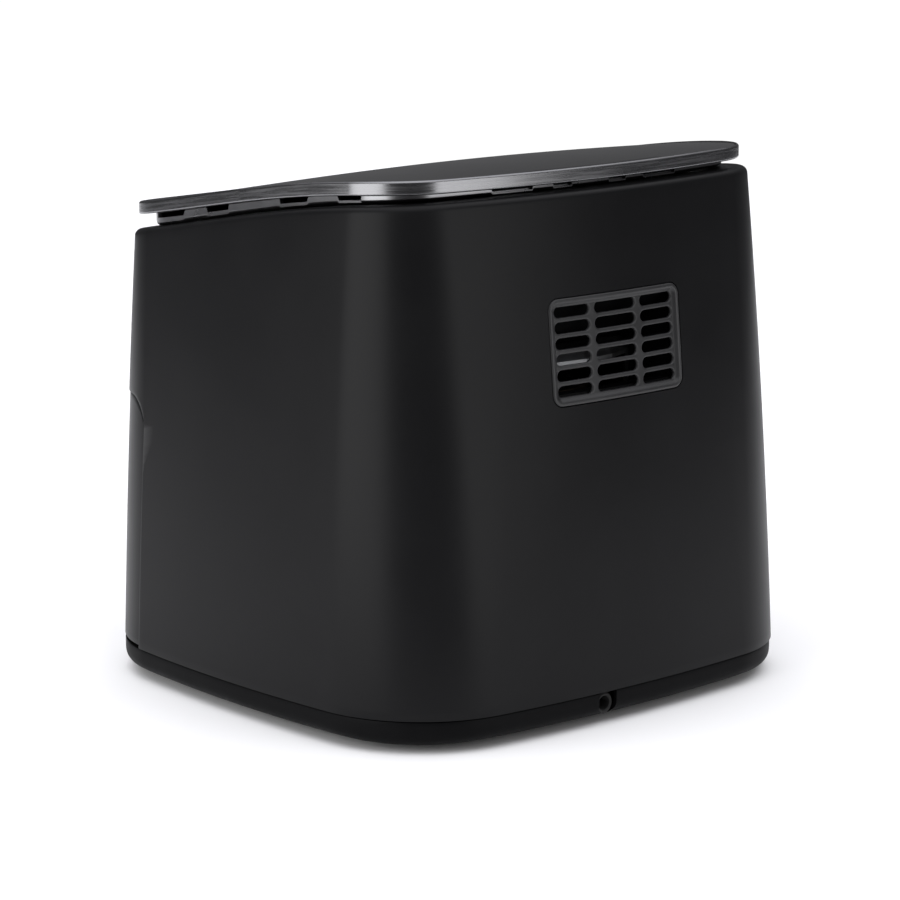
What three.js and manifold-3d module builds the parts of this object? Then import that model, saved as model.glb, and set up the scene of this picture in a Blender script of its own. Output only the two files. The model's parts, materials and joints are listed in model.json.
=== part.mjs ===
// Single-drawer air fryer, millimetres, +Z up, drawer towards -Y, air vent towards +Y.
// The body is one tapered skin between two bowed outlines; what is inside hangs from the lid down:
// motor, cooling fan, heater dish, heating element and hot-air fan, and the drawer gets what is left.
import * as THREE from 'three';
import { mergeVertices } from 'three/addons/utils/BufferGeometryUtils.js';
import Module from 'manifold-3d';

const wasm = await Module();
wasm.setup();

// ---------- Overall sizes ----------
const BODY_WIDTH = 300;
const BODY_DEPTH = 285;
const BODY_HEIGHT = 256; // floor to the shoulder, at the middle of the body
const SEAM_Z = 17.5; // where the body skin ends above the base
const HANDLE_REACH = 58; // how far the grip stands out past the body

// ---------- Body skin ----------
const WALL = 2.6;
const FLANGE = 22; // width of the inward shoulder flange
const SKIN_LEVELS = [0, 0.35, 0.7, 1]; // shares of the height where the skin has a ring
const SHOULDER_RADIUS = 3.5;
const SEAM_SHAPE = {
  halfWidth: BODY_WIDTH / 2,
  halfDepth: BODY_DEPTH / 2,
  corner: 68,
  sideBow: 13,
  frontBow: 13.6,
  backBow: 14.6,
  shiftY: 0,
};
const SIDE_TAPER = 14.8;
const DEPTH_TAPER = 15.4;
const SHOULDER_SHAPE = {
  halfWidth: BODY_WIDTH / 2 - SIDE_TAPER,
  halfDepth: BODY_DEPTH / 2 - DEPTH_TAPER,
  corner: 42.5,
  sideBow: 9.3,
  frontBow: 15,
  backBow: 18.3,
  shiftY: -4.8,
};
const TAPER_LINEAR = 0.64; // the rest of the taper grows with the square of the height
const SHOULDER_CURVE = { middle: BODY_HEIGHT, slope: 0.183, crown: 2.67e-4, droop: 2.42e-6 };

// ---------- Lid ----------
const LID_GAP = 6.3; // shoulder to rim, at the middle
const LID_CURVE = { middle: BODY_HEIGHT + LID_GAP, slope: 0.169, crown: 3.06e-4, droop: 2.45e-6 };
const LID_INSET = 2.9;
const LID_SHIFT = -1.6;
const RIM_HEIGHT = 7;
const RIM_WIDTH = 5;
const RIM_BEVEL = 0.8;
const NECK_INSET = 9; // from the rim's outside to the neck's
const NECK_WALL = 2;
const INLET_DEPTH = 2.6;
const SIDE_INLETS = [[-96, -68], [-47, -28], [14, 35], [57, 73]]; // stretches of y on each side
const BACK_INLETS = [[12.6, 25], [38, 63]]; // stretches of x, repeated on the other half
const CARRIER_THICKNESS = 2.4;
const PANEL_THICKNESS = 3.4;
const PANEL_CROWN = 4;

// ---------- Base ----------
const FOOT_HEIGHT = 3;
const FOOT_RADIUS = 9;
const FOOT_PEG = 3; // radius of the peg that holds a foot
const FOOT_PEG_RISE = 1.5; // the peg above the inside of the pan
const FOOT_CORNER = { x: 45, y: 43.5 }; // foot centres, in from the sides and from the front and back
const BASE_WALL = 2.2;
const BASE_BAND = 5; // upright band under the seam
const BASE_SEAM_GAP = 0.6;
const BASE_SETBACK = 0.8;
const BASE_TUCK = 22; // how far the bottom is tucked in under the body
const BASE_BOTTOM_CORNER = 30;
const FLOOR_FRAME_THICKNESS = 1.5;
const FLOOR_FRAME_INSET = 4;
const FLOOR_OPENING = { side: 60, front: 78, back: 48 }; // hole in the floor frame, in from the body
const CORD_X = 16;
const CORD_Z = 10.6;
const GLAND_RADIUS = 5.6;
const CORD_BORE = 3.7;
const GLAND_LENGTH = 14;
const GLAND_SETBACK = 3.4;
// A low step under the back edge: ends in x, size in y, and how far in from the seam's outline.
const PLINTH = { from: -17, to: 70, depth: 34, drop: 1.4, setback: 14, edge: 16 };
const SCREW_CORNER = { x: 50, y: 88 }; // base screws, in from the sides and from the front and back
const BOSS_RADIUS = 6;
const BOSS_SPLIT = 5; // where the pan's bosses meet the floor frame's, below the seam
const BASE_SCREW_SHANK = 1.6;
const BASE_SCREW_HEAD = 3.5;
const BASE_SCREW_HEAD_TALL = 2.5;
const BASE_SCREW_SINK = 3; // depth of the recess for the head

// ---------- Air vent ----------
const SLOT_HEIGHT = 5;
const SLOT_PITCH = 7.9;
const SLOT_ROWS = 6;
const SLOT_WIDTHS = [22, 27, 22];
const SLOT_BAR = 4.4;
const VENT_LIP = 4.9; // from the slots to the grille's edge
const VENT_CORNER = 6;
const VENT_PROUD = 0.5;
const SLAT_SETBACK = 1.2;
const GRILLE_INSIDE = WALL + 0.6; // the grille's inner face, in from the body's surface
const GRILLE_LAP = 0.5; // the slats run this far into the lip
const VENT_RISE = 4.5; // the vent's middle above the heater dish's top
const DUCT_HALF = 36;
const DUCT_WALL = 1.5;
const DUCT_STRAIGHT = 20; // upright stretch behind the grille
const DUCT_SETBACK = WALL + 1.2;
const VANE = { thickness: 2, depth: 8 };

// ---------- Drawer and chamber ----------
const DRAWER_EDGE_Y = 61.5; // from the body's front to the drawer's edge on the sides
const DRAWER_CORNER = 16;
const DRAWER_SETBACK = 0.6;
const DRAWER_SKIN = 2.8;
const DRAWER_REVEAL = 0.8;
const SILL_GAP = 1.6;
const CHAMBER_SIDE_SPACE = 29; // body side to chamber
const CHAMBER_BACK_SPACE = 30.5;
const CHAMBER_CORNER = 36;
const SHEET = 1.2;
const FRAME_WEB = 2.5; // thickness of the front frame
const SHELF_GAP = 1.2; // drawer top to the front frame's shelf
const RAIL_WIDTH = 4.6;
const RAIL_HEIGHT = 2.6;
const PAN_DROP = 14; // pan rim below the chamber roof
const PAN_FRONT_SPACE = 20.5;
const PAN_BACK_SPACE = 8;
const PAN_TAPER = 7;
const PAN_WALL = 1.8;
const PAN_CORNER = 34;
const PAN_FLOOR_SPACE = 4.2;
const PAN_BEVEL = 4; // round the pan's bottom edge
const PAN_LIP = 4; // the pan's rim in front and behind
const PLATE_LIFT = 9;
const PLATE_THICKNESS = 2;
const PLATE_SPACE = 3;
const PLATE_MARGIN = 16; // rim of the plate with no holes
const HOLE = { length: 30, width: 8, stepX: 40, stepY: 21 };
const BUMPER = { inset: 20, radius: 6, bevel: 1.5, neck: 2.8, proud: 1.2 };
const SWITCH_OUT = 7.4; // switch beyond the chamber's half width
const SWITCH_RISE = 47; // switch above the chamber's floor
const PLUNGER_RADIUS = 1.6;
const PLUNGER_TRAVEL = 3;

// ---------- Handle ----------
const HANDLE_WIDTH = 104;
const HANDLE_TALL = 25;
const GRIP_THICKNESS = 16;
const STEM_WIDTH = 15;
const HANDLE_DROP = 53; // from the drawer's top edge to the grip's middle
const HANDLE_CORNER = 22;
const FINGER_CORNER = 12;
const HANDLE_ROUNDING = 6;
const TRIM_THICKNESS = 1.2;
const TRIM_HALF = { x: 34, z: 5 };
const HANDLE_PLATE = { side: 6, tall: 32 }; // the bracket beyond the handle, and its height
const HANDLE_SCREW_SHANK = 2;
const HANDLE_SCREW_HEAD = 4;
const HANDLE_SCREW_HEAD_TALL = 3;

// ---------- Heating and motor stack, from the chamber roof up ----------
const DISH_HEIGHT = 38;
const DISH_EDGE_SPACE = 5; // dish inside the chamber's shorter half
const ROOF_LEDGE = 12;
const DISH_FLANGE = 4;
const DISH_BEVEL = 6;
const SENSOR_RADIUS = 2;
const CUTOFF = { angle: 200, inset: 20, radius: 9, height: 8 };
const GUARD_WIRE = 2;
const ELEMENT_RADIUS = 3;
const ELEMENT_RISE = 9;
const ELEMENT_SPACE = 12;
const ELEMENT_PITCH = 14;
const ELEMENT_START = THREE.MathUtils.degToRad(-97);
const ELEMENT_SWEEP = THREE.MathUtils.degToRad(340);
const TERMINAL_RISE = 8; // the element's ends above the dish
const HOT_FAN_HEIGHT = 12;
const HOT_FAN_SPACE = 9; // hot-air fan's blades inside the inner turn of the element
const COOLING_FAN_RADIUS = 45;
const COOLING_FAN_HEIGHT = 8.5;
const COOLING_FAN_SPACE = 3.4;
const BRACKET_THICKNESS = 2;
const MOTOR_RADIUS = 27;
const MOTOR_HEIGHT = 26;
const SHAFT_RADIUS = 3;
const BEARING_RADIUS = 8;
const BEARING_HEIGHT = 5;
const MOTOR_HEADROOM = 28.2; // motor top to the shoulder, for the boards
const ARM_WIDTH = 12; // of the motor bracket's arms
const RUNNING_CLEARANCE = 0.05;

const GAP = 0.3; // between pieces that touch
const OUTLINE_STEPS = 10; // points in a quarter of an outline
const ROUND = 20; // sides of a turned piece
const SHAFT_ROUND = 16;
const SMALL_ROUND = 12;
const DISH_ROUND = 28;
const PAST = 5; // how far a cutting shape runs past what it cuts

// ---------- Materials ----------
const material = (color, roughness, metalness = 0) =>
  new THREE.MeshStandardMaterial({ color, roughness, metalness });
const blackPaint = material(0x2c2c2d, 0.45, 0.3);
const blackPlastic = material(0x1a1a1b, 0.55);
const gunmetal = material(0x4a4a4c, 0.3, 1);
const glassPanel = material(0x111214, 0.1);
const rubber = material(0x141414, 0.9);
const sheetSteel = material(0xa9abad, 0.35, 1);
const castAluminium = material(0x9a9c9e, 0.5, 1);
const nonStick = material(0x242425, 0.4, 0.2);
const silicone = material(0x2f2f30, 0.8);
const elementSteel = material(0x5a5552, 0.5, 1);
const boardGreen = material(0x1f5a35, 0.6);
const brass = material(0xb08d4a, 0.35, 1);
const screwSteel = material(0x8d8f91, 0.3, 1);

// ---------- Solids ----------
function solid(geometry) {
  const bare = geometry.clone();
  bare.deleteAttribute('normal');
  bare.deleteAttribute('uv');
  const merged = mergeVertices(bare, 1e-4);
  const mesh = new wasm.Mesh({
    numProp: 3,
    vertProperties: new Float32Array(merged.attributes.position.array),
    triVerts: new Uint32Array(merged.index.array),
  });
  return new wasm.Manifold(mesh);
}

const group = new THREE.Group();
const body = new THREE.Group();
body.position.y = HANDLE_REACH / 2; // the footprint's middle is the origin
group.add(body);

function addPart(name, shape, surface) {
  const mesh = shape.getMesh();
  const geometry = new THREE.BufferGeometry();
  geometry.setAttribute('position', new THREE.BufferAttribute(mesh.vertProperties, 3));
  geometry.setIndex(new THREE.BufferAttribute(mesh.triVerts, 1));
  geometry.computeVertexNormals();
  const part = new THREE.Mesh(geometry, surface);
  part.name = name;
  body.add(part);
}

function box(low, high) {
  const size = high.map((value, i) => value - low[i]);
  const geometry = new THREE.BoxGeometry(...size);
  geometry.translate(...low.map((value, i) => value + size[i] / 2));
  return solid(geometry);
}

// A solid of revolution about a vertical axis: profile points are [radius, height].
function turned(profile, x = 0, y = 0, sides = ROUND) {
  const points = profile.map(([r, z]) => new THREE.Vector2(r, z));
  const geometry = new THREE.LatheGeometry(points, sides);
  geometry.rotateX(Math.PI / 2);
  geometry.translate(x, y, 0);
  return solid(geometry);
}

const rod = (radius, low, high, x = 0, y = 0, sides = ROUND) =>
  turned([[0, low], [radius, low], [radius, high], [0, high]], x, y, sides);

const tubeRing = (inner, outer, low, high, x = 0, y = 0, sides = ROUND) =>
  turned([[inner, low], [outer, low], [outer, high], [inner, high], [inner, low]], x, y, sides);

// The same rod or ring laid along Y: from and to are its ends, at a given x and z.
function alongY(shape, x, z) {
  return shape.rotate([-90, 0, 0]).translate([x, 0, z]);
}

function extrude(shape, depth) {
  return new THREE.ExtrudeGeometry(shape, { depth, bevelEnabled: false, curveSegments: 3 });
}

const prismZ = (shape, low, high) => solid(extrude(shape, high - low).translate(0, 0, low));

// The shape is drawn in x and z.
const prismY = (shape, low, high) =>
  solid(extrude(shape, high - low).rotateX(Math.PI / 2).translate(0, high, 0));

// The shape is drawn in y and z.
function prismX(shape, low, high) {
  const turn = new THREE.Matrix4().makeBasis(
    new THREE.Vector3(0, 1, 0),
    new THREE.Vector3(0, 0, 1),
    new THREE.Vector3(1, 0, 0),
  );
  return solid(extrude(shape, high - low).applyMatrix4(turn).translate(low, 0, 0));
}

function polygon(points) {
  return new THREE.Shape(points.map(([u, v]) => new THREE.Vector2(u, v)));
}

// A rectangle from (u0, v0) to (u1, v1) with a corner radius.
function roundedBox(u0, v0, u1, v1, radius) {
  const shape = new THREE.Shape();
  shape.moveTo(u0 + radius, v0);
  shape.lineTo(u1 - radius, v0);
  shape.absarc(u1 - radius, v0 + radius, radius, -Math.PI / 2, 0);
  shape.lineTo(u1, v1 - radius);
  shape.absarc(u1 - radius, v1 - radius, radius, 0, Math.PI / 2);
  shape.lineTo(u0 + radius, v1);
  shape.absarc(u0 + radius, v1 - radius, radius, Math.PI / 2, Math.PI);
  shape.lineTo(u0, v0 + radius);
  shape.absarc(u0 + radius, v0 + radius, radius, Math.PI, 1.5 * Math.PI);
  return shape;
}

// A slot round the middle (u, v) with eight corners, nearly round at its ends.
function slotShape(u, v, length, height) {
  const end = length / 2;
  const side = height / 2;
  const cut = height * 0.3;
  return polygon([
    [u - end + cut, v - side], [u + end - cut, v - side], [u + end, v - side + cut],
    [u + end, v + side - cut], [u + end - cut, v + side], [u - end + cut, v + side],
    [u - end, v + side - cut], [u - end, v - side + cut],
  ]);
}

const mix = (a, b, t) => a + (b - a) * t;

// ---------- Outlines ----------
// Directions round an outline, closer together where the long sides are.
const DIRECTIONS = Array.from({ length: 4 * OUTLINE_STEPS }, (_, i) => {
  const quarter = Math.floor(i / OUTLINE_STEPS);
  const t = (i % OUTLINE_STEPS) / OUTLINE_STEPS;
  return (quarter + t - (0.85 * Math.sin(2 * Math.PI * t)) / (2 * Math.PI)) * (Math.PI / 2);
});

// Half a bowed core with sharp corners, rounded by the corner radius left after the inset.
// A direction's point is where the core leans furthest that way, plus the radius.
function outlinePoint(shape, inset, angle) {
  const coreX = shape.halfWidth - shape.corner;
  const coreY = shape.halfDepth - shape.corner;
  const endBow = Math.sin(angle) > 0 ? shape.backBow : shape.frontBow;
  const sideCurve = shape.sideBow / shape.halfDepth ** 2;
  const endCurve = endBow / shape.halfWidth ** 2;
  let cornerX = coreX;
  let cornerY = coreY;
  for (let i = 0; i < 12; i += 1) {
    cornerX = coreX - sideCurve * cornerY ** 2;
    cornerY = coreY - endCurve * cornerX ** 2;
  }
  const across = Math.abs(Math.cos(angle));
  const along = Math.abs(Math.sin(angle));
  const sideY = along / (2 * sideCurve * Math.max(across, 1e-9));
  const endX = across / (2 * endCurve * Math.max(along, 1e-9));
  let x = cornerX;
  let y = cornerY;
  if (sideY < cornerY) {
    y = sideY;
    x = coreX - sideCurve * y ** 2;
  } else if (endX < cornerX) {
    x = endX;
    y = coreY - endCurve * x ** 2;
  }
  const radius = shape.corner - inset;
  return {
    x: Math.sign(Math.cos(angle)) * x + radius * Math.cos(angle),
    y: Math.sign(Math.sin(angle)) * y + radius * Math.sin(angle) + shape.shiftY,
  };
}

const heightOn = (curve, y) =>
  curve.middle + curve.slope * y - curve.crown * y ** 2 - curve.droop * y ** 3;

// A ring of an outline: the height is a number or a function of y.
function ring(shape, inset, height) {
  return DIRECTIONS.map((angle) => {
    const { x, y } = outlinePoint(shape, inset, angle);
    return new THREE.Vector3(x, y, typeof height === 'number' ? height : height(y));
  });
}

// A ring of the body skin: level 0 is the seam, level 1 the shoulder.
function bodyRing(level, inset, drop = 0) {
  const share = TAPER_LINEAR * level + (1 - TAPER_LINEAR) * level ** 2;
  return DIRECTIONS.map((angle) => {
    const low = outlinePoint(SEAM_SHAPE, inset, angle);
    const high = outlinePoint(SHOULDER_SHAPE, inset, angle);
    const top = heightOn(SHOULDER_CURVE, high.y);
    return new THREE.Vector3(
      mix(low.x, high.x, share),
      mix(low.y, high.y, share),
      mix(SEAM_Z, top, level) - drop,
    );
  });
}

// Joins rings that have the same number of points: closed in a loop, or ended by two caps.
function loft(rings, looped) {
  const count = rings[0].length;
  const points = rings.flat();
  const faces = [];
  const last = looped ? rings.length : rings.length - 1;
  for (let i = 0; i < last; i += 1) {
    const here = i * count;
    const next = ((i + 1) % rings.length) * count;
    for (let j = 0; j < count; j += 1) {
      const k = (j + 1) % count;
      faces.push(here + j, here + k, next + k, here + j, next + k, next + j);
    }
  }
  if (!looped) {
    [0, rings.length - 1].forEach((end) => {
      const centre = new THREE.Vector3();
      rings[end].forEach((point) => centre.addScaledVector(point, 1 / count));
      points.push(centre);
      for (let j = 0; j < count; j += 1) {
        const edge = [end * count + j, end * count + ((j + 1) % count)];
        if (end === 0) edge.reverse();
        faces.push(points.length - 1, ...edge);
      }
    });
  }
  const geometry = new THREE.BufferGeometry().setFromPoints(points);
  geometry.setIndex(faces);
  return solid(geometry);
}

const bodyEnvelope = (inset) => loft(SKIN_LEVELS.map((level) => bodyRing(level, inset)), false);
const bodySkin = (outer, inner) => bodyEnvelope(outer).subtract(
  loft([
    ring(SEAM_SHAPE, inner, SEAM_Z - PAST),
    ...SKIN_LEVELS.map((level) => bodyRing(level, inner)),
    ring(SHOULDER_SHAPE, inner, BODY_HEIGHT * 2),
  ], false),
);

// ---------- Places worked out from the sizes ----------
const BODY_FRONT = -BODY_DEPTH / 2;
const BODY_BACK = BODY_DEPTH / 2;
const GRIP_FRONT = BODY_FRONT - HANDLE_REACH;
const EDGE_Y = BODY_FRONT + DRAWER_EDGE_Y;
const CHAMBER_HALF = BODY_WIDTH / 2 - CHAMBER_SIDE_SPACE;
const CHAMBER_BACK = BODY_BACK - CHAMBER_BACK_SPACE;
const CHAMBER_FRONT = EDGE_Y + 4;
const FAN_Y = (CHAMBER_FRONT + CHAMBER_BACK) / 2;
const DISH_RADIUS = Math.min(CHAMBER_HALF, (CHAMBER_BACK - CHAMBER_FRONT) / 2) - DISH_EDGE_SPACE;
const MOTOR_TOP = heightOn(SHOULDER_CURVE, FAN_Y) - MOTOR_HEADROOM;
const BRACKET_Z = MOTOR_TOP - MOTOR_HEIGHT - GAP - BRACKET_THICKNESS;
const COOLING_FAN_Z = BRACKET_Z - COOLING_FAN_SPACE - COOLING_FAN_HEIGHT;
const DISH_TOP = COOLING_FAN_Z - COOLING_FAN_SPACE;
const ROOF = DISH_TOP - DISH_HEIGHT - GAP;
const DRAWER_TOP = ROOF + 2;
const HANDLE_Z = DRAWER_TOP - HANDLE_DROP;
const SLOTS_ACROSS = SLOT_WIDTHS.reduce((sum, width) => sum + width, 0) + 2 * SLOT_BAR;
const VENT_WIDTH = SLOTS_ACROSS + 2 * VENT_LIP;
const VENT_HEIGHT = (SLOT_ROWS - 1) * SLOT_PITCH + SLOT_HEIGHT + 2 * VENT_LIP - 1;
const VENT_Z = DISH_TOP + VENT_RISE;
const FLOOR_FRAME_Z = SEAM_Z - 0.2;
const CHAMBER_FLOOR = FLOOR_FRAME_Z + FLOOR_FRAME_THICKNESS + GAP;
const PAN_FLOOR = CHAMBER_FLOOR + SHEET + PAN_FLOOR_SPACE;
const PAN_RIM = ROOF - PAN_DROP;
const RAIL_TOP = PAN_RIM - PAN_WALL - 0.7;
const FLANGE_HALF = CHAMBER_HALF - 1.8;
const PAN_HALF = CHAMBER_HALF - RAIL_WIDTH - 2.9;
const PAN_FRONT = BODY_FRONT + PAN_FRONT_SPACE;
const PAN_BACK = CHAMBER_BACK - PAN_BACK_SPACE;
const PLATE_Z = PAN_FLOOR + PAN_WALL + PLATE_LIFT;
const ELEMENT_Z = ROOF + ELEMENT_RISE;
const ELEMENT_TURN = DISH_RADIUS - ELEMENT_SPACE;
const HOT_FAN_RADIUS = ELEMENT_TURN - ELEMENT_PITCH - HOT_FAN_SPACE;
const HOT_FAN_Z = DISH_TOP - HOT_FAN_HEIGHT - 8;
const SHAFT_LOW = HOT_FAN_Z - 7;

const LID_SHAPE = {
  ...SHOULDER_SHAPE,
  halfWidth: SHOULDER_SHAPE.halfWidth - LID_INSET,
  halfDepth: SHOULDER_SHAPE.halfDepth - LID_INSET,
  corner: SHOULDER_SHAPE.corner - LID_INSET,
  shiftY: SHOULDER_SHAPE.shiftY + LID_SHIFT,
};
const onLid = (rise) => (y) => heightOn(LID_CURVE, y) + rise;
const onShoulder = (rise) => (y) => heightOn(SHOULDER_CURVE, y) + rise;

// The drawer's side view, in y and z: a straight back edge, rounded into its top.
function drawerProfile(back, low, high, radius) {
  const front = BODY_FRONT - 60;
  const shape = new THREE.Shape();
  shape.moveTo(front, low);
  shape.lineTo(back, low);
  shape.lineTo(back, high - radius);
  shape.absarc(back - radius, high - radius, radius, 0, Math.PI / 2);
  shape.lineTo(front, high);
  return shape;
}

const acrossBody = (shape) => prismX(shape, -BODY_WIDTH, BODY_WIDTH);

// ---------- Body ----------
function ventOutline(margin) {
  return roundedBox(
    -VENT_WIDTH / 2 - margin,
    VENT_Z - VENT_HEIGHT / 2 - margin,
    VENT_WIDTH / 2 + margin,
    VENT_Z + VENT_HEIGHT / 2 + margin,
    VENT_CORNER + margin,
  );
}

const throughBack = (shape) => prismY(shape, BODY_BACK - CHAMBER_BACK_SPACE, BODY_BACK + PAST);

function makeBodyShell() {
  const outer = [0, 0.35, 0.7, 0.93].map((level) => bodyRing(level, 0));
  const fillet = [0, 1, 2].map((step) => {
    const turn = (step / 2) * (Math.PI / 2);
    const inset = SHOULDER_RADIUS * (1 - Math.cos(turn));
    return bodyRing(1, inset, SHOULDER_RADIUS * (1 - Math.sin(turn)));
  });
  const inner = SKIN_LEVELS.map((level) => bodyRing(level, WALL, level === 1 ? WALL : 0)).reverse();
  const rings = [
    ...outer,
    ...fillet,
    bodyRing(1, FLANGE),
    bodyRing(1, FLANGE, WALL),
    ...inner,
  ];
  const drawerCut = acrossBody(drawerProfile(EDGE_Y, 0, DRAWER_TOP, DRAWER_CORNER));
  const ventCut = throughBack(ventOutline(GAP));
  addPart('body_shell', loft(rings, true).subtract(drawerCut).subtract(ventCut), blackPaint);
}

function makeVentGrille() {
  const frame = throughBack(ventOutline(0)).subtract(throughBack(ventOutline(-VENT_LIP)));
  const lip = bodySkin(-VENT_PROUD, GRILLE_INSIDE).intersect(frame);
  const field = throughBack(ventOutline(GRILLE_LAP - VENT_LIP));
  let slats = bodySkin(SLAT_SETBACK, GRILLE_INSIDE).intersect(field);
  for (let row = 0; row < SLOT_ROWS; row += 1) {
    const z = VENT_Z + (row - (SLOT_ROWS - 1) / 2) * SLOT_PITCH;
    let left = -SLOTS_ACROSS / 2;
    SLOT_WIDTHS.forEach((width) => {
      slats = slats.subtract(throughBack(slotShape(left + width / 2, z, width, SLOT_HEIGHT)));
      left += width + SLOT_BAR;
    });
  }
  addPart('vent_grille', lip.add(slats), blackPlastic);
}

// ---------- Lid ----------
// A slab that follows the lid's curve from front to back, between two heights above it.
function lidSlab(low, high) {
  const steps = 24;
  const places = Array.from({ length: steps + 1 }, (_, i) => mix(BODY_FRONT, BODY_BACK, i / steps));
  const under = places.map((y) => [y, onLid(low)(y)]);
  const over = places.map((y) => [y, onLid(high)(y)]).reverse();
  return acrossBody(polygon([...under, ...over]));
}

function makeInletNeck() {
  const rings = [
    ring(LID_SHAPE, NECK_INSET, onShoulder(GAP)),
    ring(LID_SHAPE, NECK_INSET, onLid(RIM_HEIGHT)),
    ring(LID_SHAPE, NECK_INSET + NECK_WALL, onLid(RIM_HEIGHT)),
    ring(LID_SHAPE, NECK_INSET + NECK_WALL, onShoulder(GAP)),
  ];
  let neck = loft(rings, true).subtract(lidSlab(-GAP, BODY_HEIGHT));
  // Air inlets are notches in the neck's upper edge.
  const reach = SHOULDER_SHAPE.halfWidth - SHOULDER_SHAPE.corner;
  SIDE_INLETS.forEach(([from, to]) => {
    const slot = polygon([
      [from, onLid(-INLET_DEPTH)(from)],
      [to, onLid(-INLET_DEPTH)(to)],
      [to, onLid(PAST)(to)],
      [from, onLid(PAST)(from)],
    ]);
    neck = neck.subtract(prismX(slot, reach, BODY_WIDTH / 2));
    neck = neck.subtract(prismX(slot, -BODY_WIDTH / 2, -reach));
  });
  const backLow = onLid(-INLET_DEPTH)(LID_SHAPE.halfDepth + LID_SHAPE.shiftY - NECK_INSET);
  BACK_INLETS.forEach(([from, to]) => {
    [[from, to], [-to, -from]].forEach(([left, right]) => {
      neck = neck.subtract(box([left, FAN_Y, backLow], [right, BODY_BACK, BODY_HEIGHT * 2]));
    });
  });
  addPart('inlet_neck', neck, blackPlastic);
}

function makeLidRim() {
  const rings = [
    ring(LID_SHAPE, RIM_BEVEL, onLid(0)),
    ring(LID_SHAPE, 0, onLid(RIM_BEVEL)),
    ring(LID_SHAPE, 0, onLid(RIM_HEIGHT - RIM_BEVEL)),
    ring(LID_SHAPE, RIM_BEVEL, onLid(RIM_HEIGHT)),
    ring(LID_SHAPE, RIM_WIDTH, onLid(RIM_HEIGHT)),
    ring(LID_SHAPE, RIM_WIDTH, onLid(0)),
  ];
  addPart('lid_rim', loft(rings, true), gunmetal);
}

// The panel's top: each ring is its edge shrunk towards the middle, and higher there by the crown.
function crownedTop(inset, rise) {
  const centreY = LID_SHAPE.shiftY;
  const edge = ring(LID_SHAPE, inset, 0);
  const rings = [1, 0.7, 0.35].map((share) => edge.map((point) => {
    const y = mix(centreY, point.y, share);
    return new THREE.Vector3(point.x * share, y, onLid(rise + PANEL_CROWN * (1 - share ** 2))(y));
  }));
  return loft([edge, ...rings], false);
}

function makeLidSheets() {
  const inset = RIM_WIDTH + GAP;
  const opening = loft([ring(LID_SHAPE, inset, 0), ring(LID_SHAPE, inset, 2 * BODY_HEIGHT)], false);
  addPart('lid_carrier', lidSlab(0, CARRIER_THICKNESS).intersect(opening), blackPlastic);
  const low = CARRIER_THICKNESS + GAP;
  const panel = crownedTop(inset, low + PANEL_THICKNESS).intersect(lidSlab(low, BODY_HEIGHT));
  addPart('top_panel', panel, glassPanel);
}

// ---------- Base ----------
const BASE_SHAPE = {
  ...SEAM_SHAPE,
  halfWidth: SEAM_SHAPE.halfWidth - BASE_TUCK,
  halfDepth: SEAM_SHAPE.halfDepth - BASE_TUCK,
  corner: BASE_BOTTOM_CORNER,
};

// The tucked-in underside is a quarter ellipse from the band to the flat bottom.
function baseRing(turn, inset) {
  const share = 1 - Math.cos(turn);
  const top = SEAM_Z - BASE_SEAM_GAP - BASE_BAND;
  const upper = ring(SEAM_SHAPE, BASE_SETBACK + inset, 0);
  const lower = ring(BASE_SHAPE, inset, 0);
  return upper.map((point, i) => new THREE.Vector3(
    mix(point.x, lower[i].x, share),
    mix(point.y, lower[i].y, share),
    mix(top, FOOT_HEIGHT, Math.sin(turn)) + inset,
  ));
}

const bandTop = (inset) => ring(SEAM_SHAPE, BASE_SETBACK + inset, SEAM_Z - BASE_SEAM_GAP);
const baseTurns = [0, 0.25, 0.5, 0.75, 1].map((step) => step * (Math.PI / 2));
const mirrored = (x, y) => [[x, -y], [-x, -y], [-x, y], [x, y]];
const FEET = mirrored(BODY_WIDTH / 2 - FOOT_CORNER.x, BODY_DEPTH / 2 - FOOT_CORNER.y);
const BASE_SCREWS = mirrored(BODY_WIDTH / 2 - SCREW_CORNER.x, BODY_DEPTH / 2 - SCREW_CORNER.y);

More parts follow.
